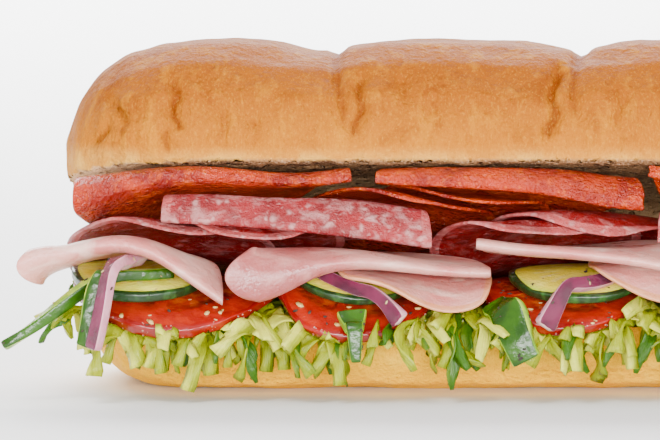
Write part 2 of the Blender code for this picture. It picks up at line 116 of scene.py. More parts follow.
def smooth(piece):
    """Shades a piece smooth."""
    only(piece)
    bpy.ops.object.shade_smooth()


def merged_copy(node, name):
    """A copy of a CAD node with its corners merged and its triangles joined into quads."""
    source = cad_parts[node]
    made = bpy.data.objects.new(name, source.data.copy())
    bpy.context.scene.collection.objects.link(made)
    made.data.name = name
    made.data.materials.clear()
    only(made)
    bpy.ops.object.mode_set(mode="EDIT")
    bpy.ops.mesh.select_all(action="SELECT")
    bpy.ops.mesh.remove_doubles(threshold=0.00001)
    bpy.ops.mesh.tris_convert_to_quads(face_threshold=math.radians(70), shape_threshold=math.radians(120))
    bpy.ops.mesh.normals_make_consistent(inside=False)
    bpy.ops.object.mode_set(mode="OBJECT")
    return made


def keep(piece, slot, *nodes):
    """Hands a finished piece to the frame."""
    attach(piece, "root")
    if nodes:
        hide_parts(*nodes)
    return piece


def count_triangles(piece):
    piece.data.calc_loop_triangles()
    return len(piece.data.loop_triangles)


# %% Corners as an array


def all_places(piece):
    """The corners of a piece as an array, one row each."""
    flat = np.zeros(len(piece.data.vertices) * 3)
    piece.data.vertices.foreach_get("co", flat)
    return flat.reshape(-1, 3)


def set_places(piece, places):
    piece.data.vertices.foreach_set("co", places.ravel())
    piece.data.update()


def ease(low, high, values):
    """0 at low, 1 at high, with a smooth change between them, for one number or an array."""
    share = np.clip((values - low) / (high - low), 0.0, 1.0)
    return share * share * (3.0 - 2.0 * share)


def mark(piece, name, values):
    """Stores one number for each corner, for a material to read."""
    attribute = piece.data.attributes.new(name, "FLOAT", "POINT")
    attribute.data.foreach_set("value", np.asarray(values, np.float32))


def weigh(piece, name, values):
    """Stores these weights as a vertex group, for a modifier to read."""
    group = piece.vertex_groups.new(name=name)
    for index, value in enumerate(values):
        if value > 0.001:
            group.add([index], float(min(1.0, value)), "REPLACE")


def cloud_relief(piece, name, size, strength, middle, group="", depth=2):
    """Moves the surface in and out by a cloud pattern, where the vertex group allows it."""
    texture = bpy.data.textures.new(name, "CLOUDS")
    texture.noise_scale = size
    texture.noise_depth = depth
    apply_modifier(
        piece, "DISPLACE", texture=texture, texture_coords="GLOBAL",
        strength=strength, mid_level=middle, vertex_group=group,
    )


# %% [markdown]
# ## Material helpers
#
# Every finish is a node tree on a Principled shader. It could be wired by hand in the Shader Editor.
# Here a small class adds one node at a time, so that a finish reads like a recipe. Patterns read Object
# coordinates in metres, so a noise scale of 100 gives spots about a centimetre across.

# %% Node helpers


class Finish:
    """One material being made: its tree, its shader and its coordinates."""

    def __init__(self, name, **values):
        self.material = bpy.data.materials.new(name)
        self.material.use_nodes = True
        self.nodes = self.material.node_tree.nodes
        self.links = self.material.node_tree.links
        self.shader = self.nodes["Principled BSDF"]
        for key, value in values.items():
            self.shader.inputs[key.replace("_", " ")].default_value = value
        self.coordinates = self.nodes.new("ShaderNodeTexCoord")
        self.height = None

    def link(self, source, target):
        self.links.new(source, target)

    def glow(self, weight, reach, radius):
        """Lets light into the surface: how much, how deep in metres, and how far for each colour."""
        self.shader.inputs["Subsurface Weight"].default_value = weight
        self.shader.inputs["Subsurface Scale"].default_value = reach
        self.shader.inputs["Subsurface Radius"].default_value = radius

    def place(self, scale, source="Object"):
        """Coordinates stretched by a Mapping node."""
        mapping = self.nodes.new("ShaderNodeMapping")
        mapping.inputs["Scale"].default_value = scale
        self.link(self.coordinates.outputs[source], mapping.inputs["Vector"])
        return mapping.outputs["Vector"]

    def noise(self, scale, detail=3.0, roughness=0.5, distortion=0.0, at=None):
        node = self.nodes.new("ShaderNodeTexNoise")
        node.inputs["Scale"].default_value = scale
        node.inputs["Detail"].default_value = detail
        node.inputs["Roughness"].default_value = roughness
        node.inputs["Distortion"].default_value = distortion
        self.link(at or self.coordinates.outputs["Object"], node.inputs["Vector"])
        return node.outputs["Fac"]

    def cells(self, scale, at=None):
        """Distance from the middle of scattered cells."""
        node = self.nodes.new("ShaderNodeTexVoronoi")
        node.inputs["Scale"].default_value = scale
        self.link(at or self.coordinates.outputs["Object"], node.inputs["Vector"])
        return node.outputs["Distance"]

    def attribute(self, name):
        node = self.nodes.new("ShaderNodeAttribute")
        node.attribute_name = name
        return node.outputs["Fac"]

    def math(self, operation, first, second=0.0):
        node = self.nodes.new("ShaderNodeMath")
        node.operation = operation
        for socket, value in zip(node.inputs, (first, second)):
            if isinstance(value, (int, float)):
                socket.default_value = value
            else:
                self.link(value, socket)
        return node.outputs[0]

    def range(self, value, low, high, to_low=0.0, to_high=1.0):
        """Maps low..high smoothly to to_low..to_high."""
        node = self.nodes.new("ShaderNodeMapRange")
        node.interpolation_type = "SMOOTHSTEP"
        limits = {"From Min": low, "From Max": high, "To Min": to_low, "To Max": to_high}
        for socket, number in limits.items():
            node.inputs[socket].default_value = number
        self.link(value, node.inputs["Value"])
        return node.outputs["Result"]

    def axis(self, name, at=None):
        node = self.nodes.new("ShaderNodeSeparateXYZ")
        self.link(at or self.coordinates.outputs["Object"], node.inputs[0])
        return node.outputs[name]

    def blend(self, share, first, second):
        """Mixes two colours by a share, which is a socket or a number."""
        node = self.nodes.new("ShaderNodeMix")
        node.data_type = "RGBA"
        for socket, value in ((node.inputs[0], share), (node.inputs[6], first), (node.inputs[7], second)):
            if isinstance(value, (int, float)):
                socket.default_value = value
            elif isinstance(value, tuple):
                socket.default_value = (*value, 1.0)
            else:
                self.link(value, socket)
        return node.outputs[2]

    def colour(self, socket):
        self.link(socket, self.shader.inputs["Base Color"])

    def rough(self, socket):
        self.link(socket, self.shader.inputs["Roughness"])

    def bump(self, height, distance):
        """Adds relief: distance is the height in metres of a full step of the pattern."""
        node = self.nodes.new("ShaderNodeBump")
        node.inputs["Strength"].default_value = 1.0
        node.inputs["Distance"].default_value = distance
        self.link(height, node.inputs["Height"])
        if self.height:
            self.link(self.height, node.inputs["Normal"])
        self.height = node.outputs["Normal"]
        self.link(self.height, self.shader.inputs["Normal"])


# %% Plain finish


def plain_finish(name, dark, light, spots=(900.0, 2.0), relief=(2500.0, 2.0), depth=0.0001, **values):
    """Two colours in soft spots over a fine relief. Each is given by the scale and detail of its noise."""
    f = Finish(name, **values)
    f.colour(f.blend(f.range(f.noise(*spots), 0.35, 0.65), dark, light))
    f.bump(f.noise(*relief), depth)
    return f.material


# %% [markdown]
# ## The crust
#
# A soft white roll browns unevenly. It is golden brown on top, with darker patches, paler down its sides,
# palest along the open lip, and yellow on the lower half. Painted shade darkens its creases and the lower
# half just under the filling. The colours could be painted on an image, but a pattern stays sharp from near
# and far. It follows height and several sizes of noise, so no band is even.

# %% Crust colours
GOLD = (0.27, 0.066, 0.0)
SHOULDER = (0.19, 0.036, 0.0)
PALE_SIDE = (0.48, 0.158, 0.0)
PALE_STREAK = (0.60, 0.240, 0.0)
PALE_LIP = (0.74, 0.400, 0.070)
CREASE_PAINTED_SHADE = (0.15, 0.022, 0.0)
GRAIN_PALE = (0.80, 0.40, 0.03)
GRAIN_DARK = (0.22, 0.045, 0.0)
LOWER_CRUST = (0.98, 0.510, 0.0)
SHADED_CRUST = (0.90, 0.380, 0.0)
YELLOW_STREAK = (0.96, 0.60, 0.04)
PAINTED_SHADE_UNDER_FILLING = (0.62, 0.18, 0.0)

# %% Crust pattern


def upper_crust(f, height, patchy, streaks):
    """Gold on top, paler down the sides, palest along the open lip."""
    broad = f.noise(34.0, 3.0, 0.55, 0.4)
    top = f.range(f.math("ADD", height, f.math("MULTIPLY", broad, 0.012)), 0.054, 0.086)
    colour = f.blend(top, PALE_SIDE, GOLD)
    spots = f.math("MULTIPLY", f.range(patchy, 0.50, 0.74), f.range(broad, 0.40, 0.60, 0.25, 0.8))
    colour = f.blend(spots, colour, SHOULDER)
    colour = f.blend(f.range(streaks, 0.50, 0.70, 0.0, 0.3), colour, PALE_STREAK)
    low = f.range(height, 0.0545, 0.0600, 1.0, 0.0)
    lip = f.math("MULTIPLY", low, f.range(patchy, 0.36, 0.60, 0.3, 0.9))
    lip = f.math("MULTIPLY", lip, f.range(f.axis("Y"), -0.026, -0.008, 1.0, 0.0))
    return f.blend(lip, colour, PALE_LIP)


def lower_crust(f, height, patchy, streaks):
    """Yellow, with darker patches, and painted shade just under the filling."""
    colour = f.blend(f.range(patchy, 0.45, 0.75, 0.0, 0.6), LOWER_CRUST, SHADED_CRUST)
    colour = f.blend(f.range(streaks, 0.50, 0.72, 0.0, 0.4), colour, YELLOW_STREAK)
    # painted shade: the lower crust is darkened just under the overhanging filling
    return f.blend(f.range(height, 0.009, 0.019, 0.0, 0.55), colour, PAINTED_SHADE_UNDER_FILLING)


def crust_colour(f, patchy, streaks):
    """The two crusts, with painted shade in the creases and a fine grain over them."""
    height = f.axis("Z")
    lower = lower_crust(f, height, patchy, streaks)
    upper = upper_crust(f, height, patchy, streaks)
    colour = f.blend(f.range(height, 0.026, 0.042), lower, upper)
    # painted shade: the crust is darkened by the depth of each crease
    colour = f.blend(f.range(f.attribute("crease"), 0.30, 1.0, 0.0, 0.8), colour, CREASE_PAINTED_SHADE)
    grain = f.noise(2100.0, 3.0, 0.7, at=f.place(scale=(1.0, 1.0, 0.5)))
    colour = f.blend(f.range(grain, 0.50, 0.74, 0.0, 0.24), colour, GRAIN_PALE)
    return f.blend(f.range(grain, 0.26, 0.47, 0.28, 0.0), colour, GRAIN_DARK)


# %% [markdown]
# ## The crumb
#
# The cut faces are crumb, with round pores of many sizes. Under the lip it carries painted shade, speckled
# and brownish, and at the ends and deep inside it keeps its own pale colour. The pores and the dark speckles
# are painted shade too. Pores and speckles are cells and noise in the same material, which the "cut"
# attribute switches on.

# %% Bread finish
CRUMB_IN_PAINTED_SHADE = (0.28, 0.135, 0.055)
CRUMB_PALE = (0.72, 0.44, 0.22)
CRUMB_DEEP_PAINTED_SHADE = (0.10, 0.045, 0.020)
CRUMB_FLECK = (0.62, 0.42, 0.27)
PORE_PAINTED_SHADE = (0.08, 0.038, 0.016)
PORE_PAINTED_SHADE_INSIDE = (0.34, 0.19, 0.09)


def crumb_colour(f, patchy, pores):
    """Painted shade under the lip, brownish there; the crumb's own pale colour at the ends and inside;
    painted shade in the pores.
    """
    # painted shade: the crumb under the lip is darkened, in patches
    colour = f.blend(f.range(patchy, 0.40, 0.62, 0.15, 0.9), CRUMB_IN_PAINTED_SHADE, CRUMB_DEEP_PAINTED_SHADE)
    near_end = f.range(f.math("ABSOLUTE", f.axis("X")), 0.128, 0.146, 0.0, 0.85)
    inside = f.range(f.axis("Y"), -0.022, -0.004, 0.0, 0.9)
    # the crumb keeps its own pale colour at the ends and deep inside, out of the painted shade
    colour = f.blend(f.math("MAXIMUM", near_end, inside), colour, CRUMB_PALE)
    # painted shade in the pores and in the fine speckle, lighter deep inside
    pore_shade = f.blend(inside, PORE_PAINTED_SHADE, PORE_PAINTED_SHADE_INSIDE)
    colour = f.blend(f.range(pores, 0.15, 0.42, 0.65, 0.0), colour, pore_shade)
    speckle = f.noise(1500.0, 3.0, 0.75)
    colour = f.blend(f.range(speckle, 0.30, 0.50, 0.6, 0.0), colour, pore_shade)
    return f.blend(f.range(speckle, 0.50, 0.70, 0.0, 0.5), colour, CRUMB_FLECK)


def bread_finish():
    f = Finish("crust_and_crumb", Roughness=0.6, Specular_IOR_Level=0.07)
    patchy = f.noise(120.0, 4.0, 0.6, 0.6)
    streaks = f.noise(260.0, 3.0, 0.6, at=f.place(scale=(1.0, 1.0, 0.22)))
    pores, fine_pores = f.cells(420.0), f.cells(1300.0)
    cut = f.attribute("cut")
    crust = f.math("SUBTRACT", 1.0, cut)
    f.colour(f.blend(cut, crust_colour(f, patchy, streaks), crumb_colour(f, patchy, pores)))
    f.rough(f.blend(cut, f.blend(patchy, (0.42, 0.42, 0.42), (0.6, 0.6, 0.6)), (0.9, 0.9, 0.9)))
    f.bump(f.math("MULTIPLY", f.noise(700.0, 4.0, 0.65), crust), 0.0009)
    f.bump(f.math("MULTIPLY", streaks, crust), 0.0012)
    f.bump(f.math("MULTIPLY", f.range(pores, 0.0, 0.45), cut), 0.0012)
    f.bump(f.math("MULTIPLY", f.range(fine_pores, 0.0, 0.5), cut), 0.0004)
    return f.material


# %% [markdown]
# ## The loaf
#
# The CAD loaf is a coarse shell. Its copy is remeshed into even small faces, so that it can carry the
# real relief: folds that run down from the slashes, short sharp wrinkles in the sides, and the pores of
# the cut faces. It could be sculpted by brush. Here each kind of relief is a Displace modifier that a
# vertex group holds to its place, which is how a sculptor's mask works.

# %% Loaf dimensions
loaf_low, loaf_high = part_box("bread")
CUT_Z = 0.020  # the lower half's cut face
LIP_Z = 0.0555  # the upper half's cut face at the open side
LIP_Y = -0.038
CUT_TILT = math.tan(math.radians(14.0))  # the upper half is opened by this much
HINGE_Y = 0.025
print("loaf:", [round(v, 4) for v in (*loaf_low, *loaf_high)])


def ceiling(y):
    """Height of the upper half's cut face."""
    return LIP_Z - CUT_TILT * (y - LIP_Y)


# %% Folds and wrinkles
# Folds that run down from the slashes: X at the crest, slant, depth, width, lowest height
FOLDS = (
    (-0.0858, 0.06, 0.0016, 0.0017, 0.060),
    (-0.0280, 0.10, 0.0016, 0.0017, 0.062),
    (0.0300, 0.08, 0.0016, 0.0017, 0.061),
    (0.0880, 0.11, 0.0015, 0.0016, 0.062),
)

# Short wrinkles in the sides: X, lean, depth, width, lowest and highest place, and the side they are on
WRINKLES = (
    (-0.1246, -0.10, 0.0022, 0.0011, 0.0615, 0.0770, -1),
    (-0.1263, 0.12, 0.0016, 0.0011, 0.0560, 0.0665, -1),
    (-0.1379, -0.45, 0.0017, 0.0013, 0.0630, 0.0720, -1),
    (-0.1417, 0.40, 0.0014, 0.0011, 0.0575, 0.0665, -1),
    (-0.1141, 0.02, 0.0014, 0.0012, 0.0580, 0.0705, -1),
    (-0.1067, 0.10, 0.0012, 0.0012, 0.0570, 0.0690, -1),
    (-0.0960, -0.12, 0.0009, 0.0014, 0.0570, 0.0650, -1),
    (-0.0822, 0.10, 0.0020, 0.0013, 0.0600, 0.0780, -1),
    (-0.0711, -0.10, 0.0013, 0.0012, 0.0690, 0.0780, -1),
    (-0.0651, 0.20, 0.0011, 0.0014, 0.0650, 0.0730, -1),
    (-0.0560, -0.15, 0.0009, 0.0015, 0.0570, 0.0670, -1),
    (-0.0452, 0.12, 0.0010, 0.0014, 0.0580, 0.0690, -1),
    (-0.0360, 0.10, 0.0024, 0.0013, 0.0600, 0.0800, -1),
    (-0.0205, 0.15, 0.0012, 0.0013, 0.0620, 0.0740, -1),
    (-0.0060, -0.15, 0.0012, 0.0012, 0.0580, 0.0690, -1),
    (0.0095, 0.20, 0.0015, 0.0012, 0.0610, 0.0760, -1),
    (0.0232, 0.10, 0.0020, 0.0013, 0.0600, 0.0790, -1),
    (0.0430, -0.20, 0.0013, 0.0012, 0.0580, 0.0690, -1),
    (0.0575, 0.15, 0.0014, 0.0012, 0.0640, 0.0760, -1),
    (0.0815, 0.10, 0.0020, 0.0013, 0.0600, 0.0790, -1),
    (0.1010, -0.15, 0.0012, 0.0013, 0.0580, 0.0700, -1),
    (0.1180, 0.20, 0.0016, 0.0012, 0.0600, 0.0740, -1),
    (0.1335, 0.40, 0.0016, 0.0012, 0.0580, 0.0690, -1),
    (-0.1300, 0.30, 0.0018, 0.0012, 0.0480, 0.0700, 1),
    (-0.1030, -0.10, 0.0013, 0.0013, 0.0540, 0.0720, 1),
    (-0.0590, 0.15, 0.0015, 0.0012, 0.0500, 0.0700, 1),
    (-0.0120, -0.20, 0.0013, 0.0013, 0.0540, 0.0740, 1),
    (0.0480, 0.12, 0.0015, 0.0012, 0.0500, 0.0710, 1),
    (0.0760, -0.15, 0.0012, 0.0013, 0.0540, 0.0720, 1),
    (0.1220, 0.30, 0.0018, 0.0012, 0.0480, 0.0700, 1),
)
print("folds and wrinkles:", len(FOLDS), len(WRINKLES))


def crease_depths(places):
    """Depth of the folds and wrinkles at these places, in metres."""
    x, y, z = places.T
    depth = np.zeros(len(places))
    for crest_x, slant, deep, width, reach in FOLDS:
        wander = 0.0010 * np.sin(240.0 * z + 900.0 * crest_x)
        off = x - crest_x - slant * y - 0.06 * (loaf_high.z - z) - wander
        depth = np.maximum(depth, deep * np.exp(-((off / width) ** 2)) * ease(reach, reach + 0.008, z))
    for start_x, lean, deep, width, low, high, side in WRINKLES:
        wander = 0.0007 * np.sin(700.0 * z + 1100.0 * start_x)
        off = x - start_x - lean * (z - (low + high) / 2.0) - wander
        there = ease(low, low + 0.003, z) * (1.0 - ease(high - 0.004, high, z))
        there = there * ease(0.010, 0.020, side * y)
        depth = np.maximum(depth, deep * np.exp(-((off / width) ** 2)) * there)
    return depth


# %% Loaf helpers


def on_cut_faces(loaf):
    """1 for corners on the knife's faces and 0 for corners on the crust."""
    x, y, z = all_places(loaf).T
    normals = np.zeros(len(x) * 3)
    loaf.data.vertices.foreach_get("normal", normals)
    _, normal_y, normal_z = normals.reshape(-1, 3).T
    near = 0.0009
    on_floor = (normal_z > 0.5) & (np.abs(z - CUT_Z) < near)
    on_roof = (normal_z < -0.5) & (np.abs(z - ceiling(y)) * 0.97 < near)
    behind = (y > 0.012) & (y < HINGE_Y + 0.002) & (normal_y < -0.2)
    on_back = behind & (CUT_Z < z) & (z < ceiling(y))
    return (on_floor | on_roof | on_back).astype(np.float32)


def grow_ends(places):
    """Makes both halves a little longer at their ends, the upper one more."""
    upper = ease(0.040, 0.054, places[:, 2])
    growth = 0.017 * upper + 0.008 * (1.0 - upper)
    places[:, 0] *= 1.0 + growth * ease(0.09, 0.15, np.abs(places[:, 0]))


# %% Make the loaf
FACE_SIZE = 0.00122
DEEPEST = 0.0030  # the crease that a full weight stands for


def build_loaf():
    loaf = merged_copy("bread", "loaf")
    apply_modifier(loaf, "REMESH", mode="VOXEL", voxel_size=FACE_SIZE, adaptivity=0.0)
    apply_modifier(loaf, "SMOOTH", factor=0.5, iterations=3)
    cut = on_cut_faces(loaf)
    places = all_places(loaf)
    crease = crease_depths(places) * (1.0 - cut)
    grow_ends(places)
    set_places(loaf, places)
    mark(loaf, "cut", cut)
    mark(loaf, "crease", np.clip(crease / 0.0020, 0.0, 1.0))
    weigh(loaf, "crease", crease / DEEPEST)
    weigh(loaf, "cut", cut)
    weigh(loaf, "crust", 1.0 - cut)
    apply_modifier(loaf, "DISPLACE", strength=-DEEPEST, mid_level=0.0, vertex_group="crease")
    cloud_relief(loaf, "crust_lumps", 0.018, 0.0016, 0.62, "crust")
    cloud_relief(loaf, "crumb_pores", 0.0035, 0.0012, 0.75, "cut", depth=1)
    places = all_places(loaf)
    places[:, 2] = np.maximum(places[:, 2], 0.0)
    set_places(loaf, places)
    smooth(loaf)
    loaf.vertex_groups.clear()
    loaf.data.materials.append(bread_finish())
    return keep(loaf, "bread", "bread")


loaf = build_loaf()
print("loaf triangles:", count_triangles(loaf))

# %% [markdown]
# ## Slices
#
# Every slice here is cut across something round, so it has two faces and a thin rim. New discs could be
# bent by hand, but the CAD slices already lie as limp slices would, so each is copied with its drape.
# The edges of its rim are beveled first, so that subdivision rounds them without shrinking the slice.
# The rim gets a material of its own where the real slice has a skin there.

# %% Rim helpers


def mark_rim(mesh, thickness):
    """Gives the second material to the faces round a slice, which have an edge as short as it is thick."""
    for face in mesh.polygons:
        ends = [(mesh.vertices[a].co, mesh.vertices[b].co) for a, b in face.edge_keys]
        shortest = min((first - second).length for first, second in ends)
        face.material_index = 1 if shortest < thickness * 1.25 else 0


def bevel_rim(piece, width):
    """Bevels the edges where the two materials of a slice meet."""
    mesh = piece.data
    sides = {}
    for face in mesh.polygons:
        for key in face.edge_keys:
            sides.setdefault(key, set()).add(face.material_index)
    only(piece)
    bpy.ops.object.mode_set(mode="EDIT")
    bpy.ops.mesh.select_all(action="DESELECT")
    bpy.ops.object.mode_set(mode="OBJECT")
    for edge in mesh.edges:
        edge.select = len(sides[edge.key]) == 2
    bpy.ops.object.mode_set(mode="EDIT")
    bpy.ops.mesh.select_mode(type="EDGE")
    bpy.ops.mesh.bevel(offset=width, segments=1, affect="EDGES", material=1, clamp_overlap=True)
    bpy.ops.object.mode_set(mode="OBJECT")


# %% Slice helpers


def flat_map(piece, middle, radius):
    """A UV map seen from above, with the slice's middle at 0.5, 0.5."""
    layers = piece.data.uv_layers
    layer = layers[0] if layers else layers.new(name="slice")
    for loop in piece.data.loops:
        place = piece.data.vertices[loop.vertex_index].co - middle
        layer.data[loop.index].uv = (0.5 + 0.5 * place.x / radius, 0.5 + 0.5 * place.y / radius)


def dress_slice(node, thickness, face_finish, rim_finish, bevel, soften=0):
    """A rounded, subdivided slice from a CAD node."""
    piece = merged_copy(node, node + "_slice")
    piece.data.materials.append(face_finish)
    piece.data.materials.append(rim_finish)
    mark_rim(piece.data, thickness)
    bevel_rim(piece, bevel)
    if soften:
        apply_modifier(piece, "SMOOTH", factor=0.5, iterations=soften)
    apply_modifier(piece, "SUBSURF", levels=2, render_levels=2)
    smooth(piece)
    low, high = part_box(node)
    flat_map(piece, (low + high) / 2.0, max(high.x - low.x, high.y - low.y) / 2.0)
    return piece


def dress_slices(kind, slot, thickness, face_finish, rim_finish, bevel):
    """Dresses every CAD slice of one kind and hands the copies to the frame."""
    made = []
    for node in nodes_of(kind):
        piece = dress_slice(node, thickness, face_finish, rim_finish, bevel)
        made.append(keep(piece, slot, node))
    return made


# %% [markdown]
# ## Tomato
#
# A tomato slice has a smooth skin that shines, firm outer flesh, and soft pockets of seeds between
# its walls. The pockets could be cut out and filled, but only a rim of each slice shows, so they are
# drawn by angle and distance from the slice's middle, and sunk a little by relief in the material.

# %% Tomato finishes


def polar(f):
    """Distance and angle from the middle of a slice, from its UV map."""
    centre = f.nodes.new("ShaderNodeVectorMath")
    centre.operation = "MULTIPLY_ADD"
    centre.inputs[1].default_value = (2.0, 2.0, 0.0)
    centre.inputs[2].default_value = (-1.0, -1.0, 0.0)
    f.link(f.coordinates.outputs["UV"], centre.inputs[0])
    length = f.nodes.new("ShaderNodeVectorMath")
    length.operation = "LENGTH"
    f.link(centre.outputs[0], length.inputs[0])
    angle = f.math("ARCTAN2", f.axis("Y", centre.outputs[0]), f.axis("X", centre.outputs[0]))
    return length.outputs["Value"], angle


def tomato_face():
    f = Finish("tomato_flesh", Roughness=0.22, Specular_IOR_Level=0.6)
    f.glow(0.25, 0.003, (1.0, 0.25, 0.1))
    distance, angle = polar(f)
    wavy = f.math("ADD", distance, f.math("MULTIPLY", f.noise(160.0, 3.0), 0.18))
    wall = f.math("ABSOLUTE", f.math("SINE", f.math("MULTIPLY", angle, 3.5)))
    pocket = f.math("MULTIPLY", f.range(wavy, 0.70, 0.84, 1.0, 0.0), f.range(wall, 0.25, 0.5))
    flesh = f.blend(f.range(f.noise(300.0, 4.0), 0.4, 0.65), (0.28, 0.0055, 0.001), (0.38, 0.015, 0.002))
    gel = f.blend(f.range(f.noise(420.0, 3.0), 0.42, 0.62), (0.30, 0.013, 0.001), (0.43, 0.060, 0.004))
    colour = f.blend(pocket, flesh, gel)
    colour = f.blend(f.range(distance, 0.93, 1.0), colour, (0.27, 0.003, 0.001))
    f.colour(colour)
    f.bump(f.noise(900.0, 3.0, 0.6), 0.0002)
    f.bump(f.math("MULTIPLY", pocket, -1.0), 0.0007)
    return f.material


def tomato_skin():
    f = Finish(
        "tomato_skin", Roughness=0.16, Subsurface_Weight=0.1, Subsurface_Scale=0.002,
        Coat_Weight=0.35, Coat_Roughness=0.08,
    )
    f.colour(f.blend(f.range(f.noise(90.0, 3.0), 0.35, 0.7), (0.21, 0.001, 0.001), (0.32, 0.005, 0.001)))
    f.bump(f.noise(500.0, 2.0), 0.0002)
    return f.material


# %% Make the tomatoes

TOMATO_THICK = 0.0038
flesh, skin = tomato_face(), tomato_skin()
tomatoes = dress_slices("tomato", "tomato", TOMATO_THICK, flesh, skin, bevel=0.0005)
print("tomatoes:", len(tomatoes), "triangles each:", count_triangles(tomatoes[0]))

# %% [markdown]
# ## Cucumber
#
# The flesh is pale and wet, greener just under the skin, with a ring of faint seeds. The skin is dark
# green with lighter streaks along the fruit. The seeds could be modelled, but they hardly stand out of
# the flesh, so a pattern of distance and angle draws them.

# %% Cucumber finishes


def cucumber_face():
    f = Finish("cucumber_flesh", Roughness=0.25)
    f.glow(0.3, 0.003, (0.8, 1.0, 0.3))
    distance, angle = polar(f)
    colour = f.blend(f.range(f.noise(200.0, 4.0), 0.4, 0.65), (0.84, 0.75, 0.050), (0.92, 0.87, 0.12))
    ring = f.math("MULTIPLY", f.range(distance, 0.30, 0.45), f.range(distance, 0.60, 0.70, 1.0, 0.0))
    seeds = f.range(f.math("ABSOLUTE", f.math("SINE", f.math("MULTIPLY", angle, 9.0))), 0.75, 0.95)
    colour = f.blend(f.math("MULTIPLY", ring, f.math("MULTIPLY", seeds, 0.6)), colour, (0.88, 0.84, 0.26))
    colour = f.blend(f.range(distance, 0.80, 0.97), colour, (0.36, 0.50, 0.030))
    f.colour(colour)
    f.bump(f.noise(1100.0, 3.0, 0.6), 0.0003)
    return f.material


def cucumber_skin():
    f = Finish("cucumber_skin", Roughness=0.28, Coat_Weight=0.2, Coat_Roughness=0.15)
    streak = f.noise(420.0, 3.0, at=f.place(scale=(1.0, 1.0, 0.3)))
    f.colour(f.blend(f.range(streak, 0.45, 0.75), (0.006, 0.030, 0.006), (0.035, 0.13, 0.020)))
    f.bump(f.noise(800.0, 2.0), 0.0003)
    return f.material


# %% Make the cucumbers
CUCUMBER_THICK = 0.0030
flesh, skin = cucumber_face(), cucumber_skin()
cucumbers = dress_slices("cucumber", "cucumber", CUCUMBER_THICK, flesh, skin, bevel=0.0003)
print("cucumbers:", len(cucumbers))

# %% [markdown]
# ## Ham
#
# Cooked ham is pale pink and moist, with whitish streaks along the muscle and a thin tan edge. It
# glows a little, because light goes into it, so its shader has some subsurface scattering. The folds
# at the left are limp: one sags and one opens. They could be simulated as cloth, but moving one end of
# the CAD fold along a smooth ramp leaves the rest of it where it is.

# %% Ham finishes


def ham_finish(name, rind=False, deep=0.0):
    """Ham, with a tan rind, or deeper in colour towards the left end of the loaf."""
    f = Finish(name, Roughness=0.34, Coat_Weight=0.15, Coat_Roughness=0.2)
    f.glow(0.35, 0.004, (1.0, 0.45, 0.35))
    streak = f.noise(150.0, 4.0, 0.6, 0.8, at=f.place(scale=(0.45, 1.0, 1.0)))
    blotch = f.noise(70.0, 3.0, 0.5)
    colour = f.blend(f.range(blotch, 0.38, 0.66), (0.64, 0.29, 0.24), (0.53, 0.160, 0.14))
    colour = f.blend(f.range(streak, 0.50, 0.68, 0.0, 0.75), colour, (0.74, 0.47, 0.39))
    if deep:
        share = f.range(f.axis("X"), -0.098, -0.074, deep, 0.12)
        rich = f.blend(f.range(streak, 0.42, 0.70), (0.31, 0.064, 0.060), (0.46, 0.16, 0.14))
        colour = f.blend(share, colour, rich)
    if rind:
        colour = f.blend(0.65, colour, (0.60, 0.25, 0.08))
    f.colour(colour)
    f.rough(f.range(streak, 0.35, 0.7, 0.26, 0.48))
    f.bump(f.noise(420.0, 4.0, 0.6), 0.0004)
    f.bump(f.noise(1400.0, 2.0), 0.00015)
    return f.material


# %% Shape the folds


def droop_lobe(piece, start, end, line, drop):
    """Lets the lower layer of a fold sag at one end, in front of what holds it up."""
    places = all_places(piece)
    x, y, z = places.T
    places[:, 2] -= drop * ease(end, start, x) * ease(-0.048, -0.054, y) * ease(line, line - 0.006, z)
    set_places(piece, places)


def flare_end(piece, start, end, line, rise):
    """Opens the end of a fold by raising its upper layer."""
    places = all_places(piece)
    x, _, z = places.T
    places[:, 2] += rise * ease(end, start, x) * ease(line, line + 0.005, z)
    set_places(piece, places)


def round_end(piece, reach, depth):
    """Rounds the left end of a fold by moving its upper and lower parts inwards."""
    places = all_places(piece)
    x, _, z = places.T
    left = x.min()
    tip = z[x < left + reach]
    middle, half = (tip.max() + tip.min()) / 2.0, (tip.max() - tip.min()) / 2.0
    inwards = np.minimum(1.0, ((z - middle) / half) ** 2)
    places[:, 0] += depth * ease(left + reach, left, x) * inwards
    set_places(piece, places)
    print(piece.name, "end:", round(left, 4), "height:", round(2.0 * half, 4))


# %% Make the ham
HAM_THICK = 0.0013
ham_side, ham_rind = ham_finish("ham_face"), ham_finish("ham_rind", rind=True)
ham_deep = ham_finish("ham_face_deep", deep=0.92)
hams = []
for node in nodes_of("ham") + nodes_of("ham_folded"):
    side = ham_deep if node == "ham_folded_2" else ham_side
    rim = side if "folded" in node else ham_rind
    piece = dress_slice(node, HAM_THICK, side, rim, bevel=0.0002, soften=1)
    hams.append(keep(piece, "ham", node))
by_name = {piece.name: piece for piece in hams}
droop_lobe(by_name["ham_folded_2_slice"], -0.108, -0.086, 0.0345, 0.0052)
flare_end(by_name["ham_folded_1_slice"], -0.163, -0.150, 0.0285, 0.0030)
round_end(by_name["ham_folded_1_slice"], 0.012, 0.0050)
round_end(by_name["ham_folded_2_slice"], 0.010, 0.0060)
print("ham slices:", len(hams))

# %% [markdown]
# ## Salami
#
# Salami is red lean meat with white fat pressed through it. The fat could be painted on each slice, but
# it goes through the meat, so it is a pattern in space: cells, bent by noise, with smears between them.
# That way it shows on the faces, on the folds and on the rim alike. Where a slice comes out under the
# crust, its front part is raised a little, so that its face can be seen.

# %% Salami finish


